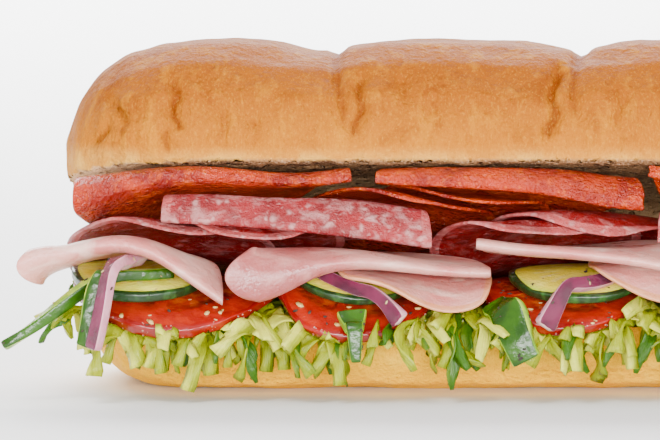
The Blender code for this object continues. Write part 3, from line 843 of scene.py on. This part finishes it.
def salami_finish(name, lean, fat_share):
    f = Finish(name, Roughness=0.20, Specular_IOR_Level=0.38)
    f.glow(0.2, 0.002, (1.0, 0.3, 0.2))
    bent = f.nodes.new("ShaderNodeVectorMath")
    bent.operation = "MULTIPLY_ADD"
    warp = f.nodes.new("ShaderNodeTexNoise")
    warp.inputs["Scale"].default_value = 240.0
    f.link(f.coordinates.outputs["Object"], warp.inputs["Vector"])
    f.link(warp.outputs["Color"], bent.inputs[0])
    bent.inputs[1].default_value = (0.007, 0.007, 0.007)
    f.link(f.coordinates.outputs["Object"], bent.inputs[2])
    blobs = f.range(f.cells(260.0, at=bent.outputs[0]), 0.08, 0.42, 1.0, 0.0)
    small = f.range(f.cells(640.0, at=bent.outputs[0]), 0.06, 0.40, 0.9, 0.0)
    smears = f.range(f.noise(230.0, 4.0, 0.6, 0.5, at=f.place(scale=(0.7, 1.0, 1.0))), 0.47, 0.70)
    lighter = tuple(value * 1.5 for value in lean)
    meat = f.blend(f.range(f.noise(180.0, 3.0), 0.35, 0.65), lean, lighter)
    fat = f.math("MAXIMUM", blobs, f.math("MULTIPLY", small, 0.6))
    fat = f.math("MAXIMUM", fat, f.math("MULTIPLY", smears, 0.8))
    f.colour(f.blend(f.math("MULTIPLY", fat, fat_share), meat, (0.56, 0.30, 0.28)))
    f.bump(f.noise(800.0, 4.0, 0.65), 0.0006)
    f.bump(f.noise(1900.0, 2.0, 0.6), 0.0005)
    f.bump(fat, 0.0002)
    return f.material


# %% Make the salami
SAUSAGE_RISE = 0.0027
SALAMI_THICK = 0.0012


def lift_front(piece):
    """Raises the part of a slice just outside the loaf, so that its face leans towards the open side."""
    places = all_places(piece)
    _, y, z = places.T
    lifted = z + SAUSAGE_RISE * ease(-0.0475, -0.0405, y) * (1.0 - ease(-0.030, -0.014, y))
    indoors = np.maximum(z, np.minimum(lifted, ceiling(y) - 0.0008))
    places[:, 2] = np.where(y > LIP_Y - 0.001, indoors, lifted)
    set_places(piece, places)


fold_face = salami_finish("salami_fold_face", (0.19, 0.012, 0.014), 0.62)
# the flat slices' faces: a darker copy of the salami with dimmer fat, painted shade under the upper half
shaded_flat_face = salami_finish("salami_flat_face_painted_shade", (0.15, 0.003, 0.003), 0.22)
rim_face = salami_finish("salami_rim", (0.28, 0.044, 0.042), 0.5)
salamis = dress_slices("salami", "salami", SALAMI_THICK, shaded_flat_face, rim_face, bevel=0.0002)
salamis += dress_slices("salami_folded", "salami", SALAMI_THICK, fold_face, rim_face, bevel=0.0002)
for piece in salamis:
    lift_front(piece)
print("salami slices:", len(salamis))

# %% [markdown]
# ## Pepperoni
#
# Pepperoni is stained orange by paprika oil, which also makes it shine in broken, beaded highlights.
# A clear coat would shine in one smooth streak, so there is none. The base itself is glossy and has a
# fine, strong relief in its material, which breaks the highlights up.

# %% Pepperoni finish


def pepperoni_finish(name, dark):
    f = Finish(name, Roughness=0.13, Specular_IOR_Level=0.45)
    f.glow(0.15, 0.002, (1.0, 0.3, 0.1))
    broad = f.noise(75.0, 3.0, 0.5, 0.6)
    mottle = f.noise(330.0, 4.0, 0.65)
    colour = f.blend(f.range(broad, 0.36, 0.64), (0.20, 0.004, 0.0), (0.43, 0.026, 0.0))
    colour = f.blend(f.range(mottle, 0.50, 0.70, 0.0, 0.7), colour, (0.56, 0.065, 0.0))
    specks = f.range(f.cells(520.0), 0.10, 0.22, 1.0, 0.0)
    colour = f.blend(f.math("MULTIPLY", specks, 0.55), colour, (0.64, 0.12, 0.002))
    # painted shade: the flat slices' faces are a darker copy of the pepperoni
    if dark:
        colour = f.blend(0.6, colour, (0.13, 0.002, 0.001))
    f.colour(colour)
    f.bump(f.noise(480.0, 4.0, 0.65), 0.0014)
    f.bump(mottle, 0.0009)
    f.bump(f.noise(1050.0, 2.0, 0.6), 0.0012)
    return f.material


# %% Make the pepperoni
PEPPERONI_THICK = 0.0013
fold_face = pepperoni_finish("pepperoni_fold_face", False)
shaded_flat_face = pepperoni_finish("pepperoni_flat_face_painted_shade", True)
pepperonis = []
for kind, side in (("pepperoni", shaded_flat_face), ("pepperoni_folded", fold_face)):
    pepperonis += dress_slices(kind, "pepperoni", PEPPERONI_THICK, side, fold_face, bevel=0.0002)
for piece in pepperonis:
    lift_front(piece)
print("pepperoni slices:", len(pepperonis))

# %% [markdown]
# ## Onion and pepper strips
#
# A strip is a bar cut from a curved wall: its skin is on one side only, and its other sides are pale
# and wet. The CAD strip is too coarse to round, and a curve with a profile would spread its skin over
# all sides. So a cube is beveled along its length, cut across into 24 parts, and laid along the line
# through the middle of the CAD strip, so it bends where that strip bends. Its ends stay square.

# %% Strip finishes


def onion_skin():
    f = Finish("onion_skin", Roughness=0.22, Coat_Weight=0.3, Coat_Roughness=0.1)
    lines = f.noise(700.0, 3.0, at=f.place(scale=(1.0, 0.15, 1.0), source="UV"))
    f.colour(f.blend(f.range(f.noise(160.0, 3.0), 0.35, 0.65), (0.070, 0.002, 0.022), (0.17, 0.006, 0.050)))
    f.bump(lines, 0.0002)
    return f.material


def onion_flesh():
    f = Finish("onion_flesh", Roughness=0.25, Subsurface_Weight=0.3, Subsurface_Scale=0.002, Coat_Weight=0.2)
    across = f.axis("X", f.coordinates.outputs["UV"])
    edge = f.range(f.math("ABSOLUTE", f.math("SUBTRACT", across, 0.5)), 0.30, 0.5)
    pale = f.blend(f.range(f.noise(260.0, 3.0), 0.35, 0.65), (0.62, 0.33, 0.35), (0.74, 0.48, 0.47))
    f.colour(f.blend(f.math("MULTIPLY", edge, 0.55), pale, (0.40, 0.08, 0.18)))
    f.bump(f.noise(900.0, 3.0), 0.0003)
    return f.material


def pepper_skin():
    return plain_finish(
        "pepper_skin", (0.009, 0.040, 0.0), (0.024, 0.085, 0.0), (140.0, 3.0), (500.0, 3.0), 0.0003,
        Roughness=0.24, Specular_IOR_Level=0.4,
    )


def pepper_flesh():
    return plain_finish(
        "pepper_flesh", (0.14, 0.29, 0.010), (0.32, 0.45, 0.030), (260.0, 3.0), (900.0, 3.0), 0.0003,
        Roughness=0.3, Subsurface_Weight=0.2, Subsurface_Scale=0.002,
    )


# %% Find the middle line of a CAD strip


def strip_rings(node):
    """The 7 rings of 4 corners of a CAD strip, found by walking along it from one end."""
    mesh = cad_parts[node].data
    places = np.round([vertex.co for vertex in mesh.vertices], 6)
    corners, same = np.unique(places, axis=0, return_inverse=True)
    same = same.ravel()
    triangles = [{int(same[index]) for index in face.vertices} for face in mesh.polygons]
    near = {corner: set() for corner in range(len(corners))}
    for triangle in triangles:
        for corner in triangle:
            near[corner] |= triangle
    for first in triangles:
        for second in triangles:
            rings, seen = [first | second], first | second
            while len(rings[-1]) == 4:
                rings.append(set().union(*(near[corner] for corner in rings[-1])) - seen)
                seen = seen | rings[-1]
            if len(rings) == 8 and not rings[-1]:
                return np.array([corners[sorted(ring)] for ring in rings[:-1]])
    raise ValueError(node + " is not a strip of 7 rings")


def strip_path(node):
    """The middle line of a CAD strip, with its width and the direction across it, at each ring."""
    rings = strip_rings(node)
    if rings[0].mean(axis=0)[1] < rings[-1].mean(axis=0)[1]:
        rings = rings[::-1]
    centres = rings.mean(axis=1)
    across, widths = [], []
    for ring in rings:
        sides = [ring[a] - ring[b] for a in range(4) for b in range(a)]
        sides = sorted(sides, key=np.linalg.norm)[:4]  # the two diagonals are the longest
        if across:
            side = max(sides, key=lambda way: abs(way @ across[-1]) / np.linalg.norm(way))
        else:
            side = sides[-1]
        widths.append(np.linalg.norm(side))
        side = side / widths[-1]
        if across:
            turned = side @ across[-1] < 0.0
        else:
            turned = np.cross(centres[1] - centres[0], side)[2] < 0.0
        across.append(-side if turned else side)
    return centres, np.array(across), np.array(widths)


# %% Follow that line


def along_path(values, share):
    """The value at a share of the path, with its corners smoothed."""
    place = share * (len(values) - 1)
    index = min(len(values) - 2, int(place))
    part = place - index
    before, after = values[max(0, index - 1)], values[min(len(values) - 1, index + 2)]
    first, second = values[index], values[index + 1]
    return 0.5 * (
        2 * first + (second - before) * part + (2 * before - 5 * first + 4 * second - after) * part**2
        + (3 * first - before - 3 * second + after) * part**3
    )


# %% Make a bar


def select_long_edges(mesh):
    """Selects the edges that run from one end of a unit bar to the other, and stays in Edit Mode."""
    bpy.ops.object.mode_set(mode="EDIT")
    bpy.ops.mesh.select_mode(type="EDGE")
    bpy.ops.mesh.select_all(action="DESELECT")
    bpy.ops.object.mode_set(mode="OBJECT")
    for edge in mesh.edges:
        first, second = (mesh.vertices[index].co for index in edge.vertices)
        edge.select = abs(first.x - second.x) > 0.5
    bpy.ops.object.mode_set(mode="EDIT")


def unit_bar(name, skin, flesh):
    """A bar along X with rounded long edges, cut across into parts, with skin on its upper side."""
    bpy.ops.object.select_all(action="DESELECT")
    bpy.ops.mesh.primitive_cube_add(size=1.0)
    piece = bpy.context.active_object
    piece.name = piece.data.name = name
    mesh = piece.data
    mesh.materials.append(flesh)
    mesh.materials.append(skin)
    for face in mesh.polygons:
        face.material_index = 1 if face.normal.z > 0.5 else 0
    select_long_edges(mesh)
    bpy.ops.mesh.bevel(offset=0.13, segments=2, affect="EDGES")
    select_long_edges(mesh)
    bpy.ops.mesh.subdivide(number_cuts=23)
    bpy.ops.object.mode_set(mode="OBJECT")
    layer = mesh.uv_layers[0]
    for loop in mesh.loops:
        place = mesh.vertices[loop.vertex_index].co
        layer.data[loop.index].uv = (place.y + 0.5, place.x + 0.5)
    return piece


# %% Lay the bar along the line


def lay_along(piece, path, thickness, roll, crown, slim, rise):
    """Bends a unit bar along a path, turned about it by roll."""
    centres, across, widths = path
    for vertex in piece.data.vertices:
        share, side, up = vertex.co.x + 0.5, vertex.co.y, vertex.co.z
        lift = rise * ease(0.05, 0.40, share)
        centre = along_path(centres, share) + np.array((0.0, 0.0, lift))
        ahead = along_path(centres, min(1.0, share + 0.01)) - along_path(centres, max(0.0, share - 0.01))
        ahead = Vector(ahead).normalized()
        right = Vector(along_path(across, share))
        right = (right - ahead * right.dot(ahead)).normalized()
        over = ahead.cross(right)
        turn = Matrix.Rotation(roll, 3, ahead)
        width = float(along_path(widths, share))
        bow = crown * (1.0 - 4.0 * side * side)
        vertex.co = Vector(centre) + turn @ (right * side * width * slim + over * (up * thickness + bow))


def build_strip(node, thickness, roll, skin, flesh, crown=0.0, slim=0.92, rise=0.0):
    """A strip in place of a CAD strip, with its roll in degrees."""
    piece = unit_bar(node + "_strip", skin, flesh)
    lay_along(piece, strip_path(node), thickness, math.radians(roll), crown, slim, rise)
    turn_outwards(piece)
    apply_modifier(piece, "SUBSURF", levels=1, render_levels=1)
    smooth(piece)
    return piece


# %% Make the strips
ONION_THICK = 0.0027
ONION_ROLLS = (42, 62, -38, 50, -35, -42)
PEPPER_THICK = 0.0029
PEPPER_ROLLS = (-62, 0, 6, 10, -6, 0, 8, 62)
PEPPER_SLIM = {0: 0.52, 7: 0.52}  # these two are narrow strips, the others are broad flaps
PEPPER_RISE = {2: 0.0040, 4: 0.0065}  # two flaps hang a little higher
red, pink, green, light_green = onion_skin(), onion_flesh(), pepper_skin(), pepper_flesh()
strips = []
for number, node in enumerate(nodes_of("onion")):
    piece = build_strip(node, ONION_THICK, ONION_ROLLS[number], red, pink)
    strips.append(keep(piece, "onion", node))
for number, node in enumerate(nodes_of("pepper")):
    slim, rise = PEPPER_SLIM.get(number, 0.9), PEPPER_RISE.get(number, 0.0)
    piece = build_strip(
        node, PEPPER_THICK, PEPPER_ROLLS[number], green, light_green, crown=0.0004, slim=slim, rise=rise
    )
    strips.append(keep(piece, "pepper", node))
print("strips:", len(strips), "triangles each:", count_triangles(strips[0]))

# %% [markdown]
# ## Lettuce
#
# Iceberg lettuce is cut across the head, so it falls apart into narrow ribbons: pale and stiff near the
# rib, thin and green at the leaf's edge. A solid heap with a leafy material would have no gaps, so a few
# ribbons are modelled, and their copies hang out over the lower half. A smaller core fills the bed
# behind them, where only its shade shows.

# %% Lettuce finish
LEAF_PALE = (0.56, 0.57, 0.06)
LEAF_YELLOW = (0.26, 0.29, 0.0)
LEAF_GREEN = (0.030, 0.095, 0.0)
LEAF_SHADE = (0.03, 0.06, 0.003)


def lettuce_finish(name, deep):
    """Leaf by its tone attribute: 0 is the pale rib and 1 the green edge. Deep mixes in shade."""
    f = Finish(name, Roughness=0.30, Specular_IOR_Level=0.30)
    f.glow(0.25, 0.0015, (0.6, 1.0, 0.2))
    streaks = f.noise(9.0, 3.0, 0.6, at=f.place(scale=(1.0, 0.16, 1.0), source="UV"))
    veins = f.math("MULTIPLY", f.math("SUBTRACT", streaks, 0.5), 0.5)
    blotch = f.math("MULTIPLY", f.math("SUBTRACT", f.noise(170.0, 3.0), 0.5), 0.5)
    tone = f.math("ADD", f.math("ADD", f.attribute("tone"), blotch), veins)
    pale = f.blend(f.range(tone, 0.02, 0.30), LEAF_PALE, LEAF_YELLOW)
    colour = f.blend(f.range(tone, 0.40, 0.98), pale, LEAF_GREEN)
    f.colour(f.blend(deep, colour, LEAF_SHADE))
    f.bump(streaks, 0.0005)
    f.bump(f.noise(620.0, 3.0), 0.0004)
    return f.material


# %% The bed behind the shreds
CORE_FRONT = -0.0445
CORE_END = 0.1440
CORE_FLOOR = 0.0185


def build_core():
    """The heap without its hanging front, a little smaller than the CAD solid."""
    core = merged_copy("lettuce", "lettuce_core")
    apply_modifier(core, "REMESH", mode="VOXEL", voxel_size=0.0019, adaptivity=0.0)
    for vertex in core.data.vertices:
        vertex.co.z = max(vertex.co.z, CORE_FLOOR)
        vertex.co.y = max(vertex.co.y, CORE_FRONT)
        vertex.co.x = max(-CORE_END, min(CORE_END, vertex.co.x))
    cloud_relief(core, "lettuce_heap", 0.004, 0.0026, 0.9)
    mark(core, "tone", np.full(len(core.data.vertices), 0.55))
    core.data.materials.append(lettuce_finish("lettuce_shade", 0.45))
    smooth(core)
    return keep(core, "lettuce", "lettuce")


core = build_core()
print("core triangles:", count_triangles(core))

# %% [markdown]
# ## Ribbons
#
# A shred is a flat ribbon that curls as it dries. It could be a curve with a flat profile, but then it
# could not ruffle. Here a small grid is ruffled, twisted and bent in turn, and given the thickness of a
# leaf. Six kinds differ in width, curl and tone.

# %% The ribbons that are copied


def ribbon(name, length, width, bend, twist, ruffle, tone):
    """One cut ribbon, its root at the origin, running out along -Y and then drooping."""
    bpy.ops.object.select_all(action="DESELECT")
    bpy.ops.mesh.primitive_grid_add(x_subdivisions=3, y_subdivisions=12, size=1.0)
    piece = bpy.context.active_object
    piece.name = name
    for vertex in piece.data.vertices:
        share = 0.5 - vertex.co.y
        taper = 1.0 - 0.25 * share * share
        wave = ruffle * math.sin(9.0 * share + 5.0 * vertex.co.x) * (0.3 + 2.0 * abs(vertex.co.x))
        vertex.co = (vertex.co.x * width * taper, -share * length, wave)
    turn_outwards(piece)
    for vertex in piece.data.vertices:
        share = -vertex.co.y / length
        turn = twist * share
        x, z = vertex.co.x, vertex.co.z
        x, z = x * math.cos(turn) - z * math.sin(turn), x * math.sin(turn) + z * math.cos(turn)
        angle = bend * share
        radius = length / max(0.05, bend)
        vertex.co = (x, -(radius + z) * math.sin(angle), (radius + z) * math.cos(angle) - radius)
    apply_modifier(piece, "SOLIDIFY", thickness=0.0005, offset=0.0)
    mark(piece, "tone", [tone + 0.18 * math.sin(900.0 * vertex.co.x) for vertex in piece.data.vertices])
    return piece


# Name, length, width, bend, twist, ruffle, tone
RIBBONS = (
    ribbon("ribbon_leaf", 0.020, 0.0038, 1.35, 0.5, 0.0010, 0.40),
    ribbon("ribbon_rib", 0.018, 0.0042, 1.0, -0.4, 0.0004, 0.00),
    ribbon("ribbon_curled", 0.021, 0.0034, 2.3, 1.5, 0.0012, 0.36),
    ribbon("ribbon_narrow", 0.021, 0.0021, 1.5, -1.2, 0.0008, 0.62),
    ribbon("ribbon_broad", 0.018, 0.0050, 1.25, 0.4, 0.0014, 0.30),
    ribbon("ribbon_dark", 0.019, 0.0031, 1.6, -0.9, 0.0011, 1.00),
)
print("triangles in a ribbon:", count_triangles(RIBBONS[0]))

# %% [markdown]
# ## Hanging the shreds
#
# Shreds fall in every direction, and the slices press them down. They could be dropped by a
# simulation, but where they land could not be steered. So each copy gets a root in the bed, a heading
# that turns outwards at the ends of the loaf, and a droop of its own. A ray from below finds what rests
# on each of its corners, and the corner is pressed under it. Some more lie on the bed at both ends,
# where it would show bare.

# %% Lay and press one shred


def search_tree(pieces):
    """One tree over all faces of these pieces, in which a ray can be cast."""
    points, faces = [], []
    for piece in pieces:
        start = len(points)
        points.extend(vertex.co.copy() for vertex in piece.data.vertices)
        faces.extend([start + index for index in face.vertices] for face in piece.data.polygons)
    return BVHTree.FromPolygons(points, faces)


def ribbon_copy(kind, root, turn, size):
    """The mesh of a ribbon, laid with its root at a place."""
    mesh = kind.data.copy()
    mesh.transform(Matrix.Translation(root) @ turn.to_matrix().to_4x4() @ Matrix.Scale(size, 4))
    return mesh


def place_shred(mesh, cover, shift):
    """Presses a ribbon's corners into place and makes it an object of its own tone."""
    for vertex in mesh.vertices:
        press_under(vertex, cover)
    for item in mesh.attributes["tone"].data:
        item.value += shift
    made = bpy.data.objects.new("shred", mesh)
    bpy.context.scene.collection.objects.link(made)
    return made


def press_under(vertex, cover):
    """Keeps a corner under the slices, in front of the lower crust where it hangs, and off the floor."""
    x, y, z = vertex.co
    roof = cover.ray_cast(Vector((x, y, -0.01)), Vector((0.0, 0.0, 1.0)))[0]
    if roof and z > roof.z - 0.0004:
        z = roof.z - 0.0004
    if z < CUT_Z:
        y = min(y, -0.0392)
    x = max(cad_low.x + 0.006, min(cad_high.x - 0.003, x))
    vertex.co = (x, max(-0.0595, y), max(0.0012, z))


# %% Where the shreds lie


def hang_shreds(cover, count):
    """Shreds rooted all along the bed's front edge, hanging out over the lower half."""
    rng = random.Random(5)
    copies = []
    for index in range(count):
        kind = RIBBONS[rng.choice((0, 0, 0, 1, 1, 2, 3, 4, 4, 5, 5))]
        x = -0.151 + 0.302 * (index + rng.random()) / count
        end = max(0.0, (abs(x) - 0.138) / 0.013)
        heading = rng.uniform(-0.7, 0.7) + math.copysign(end * rng.uniform(0.2, 1.1), x)
        layer = rng.random()
        root = Vector((x, -0.0360 - 0.0100 * layer, 0.0220 - 0.0035 * layer))
        size = rng.uniform(0.66, 1.04) * (1.0 - 0.45 * min(1.0, end))
        turn = Euler((rng.uniform(-0.40, 0.45), rng.uniform(-0.8, 0.8), heading))
        copies.append(place_shred(ribbon_copy(kind, root, turn, size), cover, rng.uniform(-0.22, 0.22)))
    return copies


def lay_end_shreds(cover, count):
    """Shreds that lie on the bed where it shows at the two ends of the loaf."""
    rng = random.Random(9)
    copies = []
    for index in range(count):
        side = 1 if index % 2 else -1
        kind = RIBBONS[rng.choice((0, 1, 2, 4, 4, 5))]
        x, y = side * rng.uniform(0.118, 0.143), rng.uniform(-0.036, 0.012)
        root = Vector((x, y, rng.uniform(0.0240, 0.0268)))
        heading = side * math.pi / 2.0 + rng.uniform(-0.9, 0.9)
        turn = Euler((rng.uniform(-0.6, -0.1), rng.uniform(-0.6, 0.6), heading))
        mesh = ribbon_copy(kind, root, turn, rng.uniform(0.6, 0.8))
        for vertex in mesh.vertices:
            vertex.co.z = max(vertex.co.z, 0.0232)
            vertex.co.x = max(-0.1520, min(0.1520, vertex.co.x))
        copies.append(place_shred(mesh, cover, rng.uniform(-0.2, 0.2)))
    return copies


# %% Make the shreds


def join(pieces, name):
    """Joins pieces into one object with one mesh."""
    bpy.ops.object.select_all(action="DESELECT")
    for piece in pieces:
        piece.select_set(True)
    bpy.context.view_layer.objects.active = pieces[0]
    bpy.ops.object.join()
    joined = bpy.context.active_object
    joined.name = joined.data.name = name
    smooth(joined)
    return joined


HANGING, LYING = 380, 120  # how many shreds of each sort
cover = search_tree(tomatoes + cucumbers + hams + salamis)
shreds = join(hang_shreds(cover, HANGING) + lay_end_shreds(cover, LYING), "lettuce_shreds")
shreds.data.materials.clear()
shreds.data.materials.append(lettuce_finish("lettuce_leaf", 0.0))
keep(shreds, "lettuce", "lettuce")
for piece in RIBBONS:
    bpy.data.objects.remove(piece)
print("shreds:", HANGING + LYING, "triangles:", count_triangles(shreds))

# %% [markdown]
# ## Pepper, herbs, seeds and drops
#
# Ground pepper and dried herbs fall on the filling, and the tomatoes leave seeds and drops. A particle
# system would put them under the slices too. So a point is picked on a face that looks to the open
# side, a ray towards the viewer makes sure that nothing covers it, and the small thing is turned to lie
# on that face.

# %% Small things


def small_thing(name, scale, subdivisions=1):
    """An uneven pebble of the given half sizes."""
    bpy.ops.object.select_all(action="DESELECT")
    bpy.ops.mesh.primitive_ico_sphere_add(subdivisions=subdivisions, radius=1.0)
    piece = bpy.context.active_object
    piece.name = name
    rng = random.Random(len(name))
    for vertex in piece.data.vertices:
        vertex.co *= rng.uniform(0.75, 1.15)
        vertex.co = [value * half for value, half in zip(vertex.co, scale)]
    return piece


# %% Find open spots
WHOLE = search_tree([loaf, core, shreds] + tomatoes + cucumbers + hams + salamis + pepperonis + strips)


def open_spots(pieces, count, seed, allow):
    """Points and normals on allowed faces that are seen from the open side, picked by area."""
    rng = random.Random(seed)
    faces = []
    for piece in pieces:
        faces.extend((piece.data, face) for face in piece.data.polygons if allow(face))
    areas = [face.area for _, face in faces]
    found = []
    for mesh, face in rng.choices(faces, areas, k=count * 4) if faces else ():
        corners = [mesh.vertices[index].co for index in face.vertices]
        shares = [rng.random() for _ in corners]
        point = sum((corner * share for corner, share in zip(corners, shares)), Vector()) / sum(shares)
        sight = Vector((rng.uniform(-0.2, 0.2), -1.0, rng.uniform(0.05, 0.4))).normalized()
        if WHOLE.ray_cast(point + face.normal * 0.0003, sight)[0] is None:
            found.append((point, face.normal.copy()))
        if len(found) >= count:
            break
    return found


# %% Lay copies on the spots
LARGEST = 1.3  # times the usual size
SINK = 0.3  # the share of a small thing that sits in the surface


def scatter(name, slot, thing, spots, seed, finish, smallest=0.6):
    """Lays copies of a small thing on the spots, as one piece."""
    rng = random.Random(seed)
    copies = []
    depth = max(abs(vertex.co.z) for vertex in thing.data.vertices)
    for point, normal in spots:
        size = rng.uniform(smallest, LARGEST)
        spin = Matrix.Rotation(rng.uniform(0.0, 6.28), 4, "Z")
        lie = normal.to_track_quat("Z", "Y").to_matrix().to_4x4() @ spin
        place = Matrix.Translation(point + normal * depth * size * (1.0 - 2.0 * SINK))
        copy = thing.data.copy()
        copy.transform(place @ lie @ Matrix.Scale(size, 4))
        made = bpy.data.objects.new(name, copy)
        bpy.context.scene.collection.objects.link(made)
        copies.append(made)
    joined = join(copies, name)
    joined.data.materials.clear()
    joined.data.materials.append(finish)
    bpy.data.objects.remove(thing)
    print(name, len(spots), "pieces,", count_triangles(joined), "triangles")
    return keep(joined, slot)


# %% Scatter them
FRONT_Y = -0.030  # the filling shows in front of this line
SEED_Y = -0.042  # tomato seeds lie in front of this one


def in_front(face):
    return face.center.y < FRONT_Y and face.normal.z > -0.1 and face.normal.y < 0.4


def on_top(face):
    return face.center.y < SEED_Y and face.normal.z > 0.5


def on_front_skin(face):
    return face.normal.y < -0.35 and face.material_index == 1


greens = tomatoes + cucumbers + strips
scatter(
    "pepper_flecks", "pepper", small_thing("fleck", (0.00055, 0.00032, 0.00022)),
    open_spots(greens, 120, 11, in_front), 12,
    plain_finish("black_pepper", (0.010, 0.007, 0.005), (0.05, 0.032, 0.02), Roughness=0.9),
)
scatter(
    "herb_grains", "cucumber", small_thing("herb", (0.00060, 0.00025, 0.00015)),
    open_spots(greens, 46, 21, in_front), 22,
    plain_finish("dried_herb", (0.34, 0.20, 0.07), (0.62, 0.45, 0.20), Roughness=0.6),
)
scatter(
    "tomato_seeds", "tomato", small_thing("seed", (0.00105, 0.00062, 0.00038)),
    open_spots(tomatoes, 44, 31, on_top), 32,
    plain_finish(
        "tomato_seed", (0.70, 0.34, 0.07), (0.80, 0.52, 0.18), Roughness=0.25, Subsurface_Weight=0.2
    ),
)
scatter(
    "water_drops", "tomato", small_thing("drop", (0.00022, 0.00022, 0.00015), 2),
    open_spots(tomatoes, 110, 41, on_front_skin), 42,
    plain_finish(
        "water_drop", (0.72, 0.20, 0.14), (0.86, 0.46, 0.38), Roughness=0.04, Transmission_Weight=0.6
    ),
    smallest=0.5,
)

# %% [markdown]
# ## Floor, light and camera
#
# A pale floor, a white world and broad soft lights keep the food's own colours. A long low light in
# front reaches in under the upper half. The camera is far off with a long lens, a little above the
# table, and looks at the left part of the sandwich.

# %% Floor and world
bpy.ops.object.select_all(action="DESELECT")
bpy.ops.mesh.primitive_plane_add(size=8.0, location=(0.0, 0.0, 0.0))
floor = bpy.context.active_object
floor.name = "floor"
floor_finish = Finish("pale_floor", Roughness=0.8)
floor_finish.shader.inputs["Base Color"].default_value = (0.93, 0.93, 0.93, 1.0)
floor.data.materials.append(floor_finish.material)

world = bpy.data.worlds.new("studio")
bpy.context.scene.world = world
world.use_nodes = True
sky = world.node_tree.nodes["Background"]
sky.inputs["Color"].default_value = (1.0, 1.0, 1.0, 1.0)
sky.inputs["Strength"].default_value = 1.0


# %% Lights
# Name, place, target, width and height in metres, power in watts
LIGHTS = (
    ("key", (-0.45, -0.75, 0.95), (-0.05, 0.0, 0.04), 0.40, 0.40, 10.5),
    ("front", (0.05, -1.30, 0.15), (0.0, 0.0, 0.02), 1.0, 0.26, 36.0),
    ("fill", (0.75, -0.85, 0.45), (0.0, 0.0, 0.04), 0.60, 0.60, 4.0),
    ("back", (0.1, 0.8, 0.9), (0.0, 0.0, 0.05), 0.60, 0.60, 6.0),
    ("far_floor", (0.0, 2.4, 1.3), (0.0, 2.4, 0.0), 3.0, 3.0, 330.0),
)
for name, place, target, width, height, power in LIGHTS:
    light = bpy.data.lights.new(name, "AREA")
    light.shape = "RECTANGLE"
    light.energy = power
    light.size, light.size_y = width, height
    holder = bpy.data.objects.new(name, light)
    holder.location = place
    holder.rotation_euler = (Vector(target) - Vector(place)).to_track_quat("-Z", "Y").to_euler()
    bpy.context.scene.collection.objects.link(holder)
print("lights:", len(LIGHTS))

# %% Camera
VIEW_WIDTH = 0.1584  # metres across the view at the sandwich
VIEW_MIDDLE = Vector((-0.0891, -0.02, 0.0405))
ELEVATION = math.radians(5.0)
DISTANCE = 1.4
camera = bpy.data.objects.new("camera", bpy.data.cameras.new("camera"))
bpy.context.scene.collection.objects.link(camera)
away = Vector((0.0, -math.cos(ELEVATION), math.sin(ELEVATION)))
camera.location = VIEW_MIDDLE + away * DISTANCE
camera.rotation_euler = (-away).to_track_quat("-Z", "Y").to_euler()
camera.data.lens = camera.data.sensor_width * DISTANCE / VIEW_WIDTH
bpy.context.scene.camera = camera
print("lens:", round(camera.data.lens), "mm")
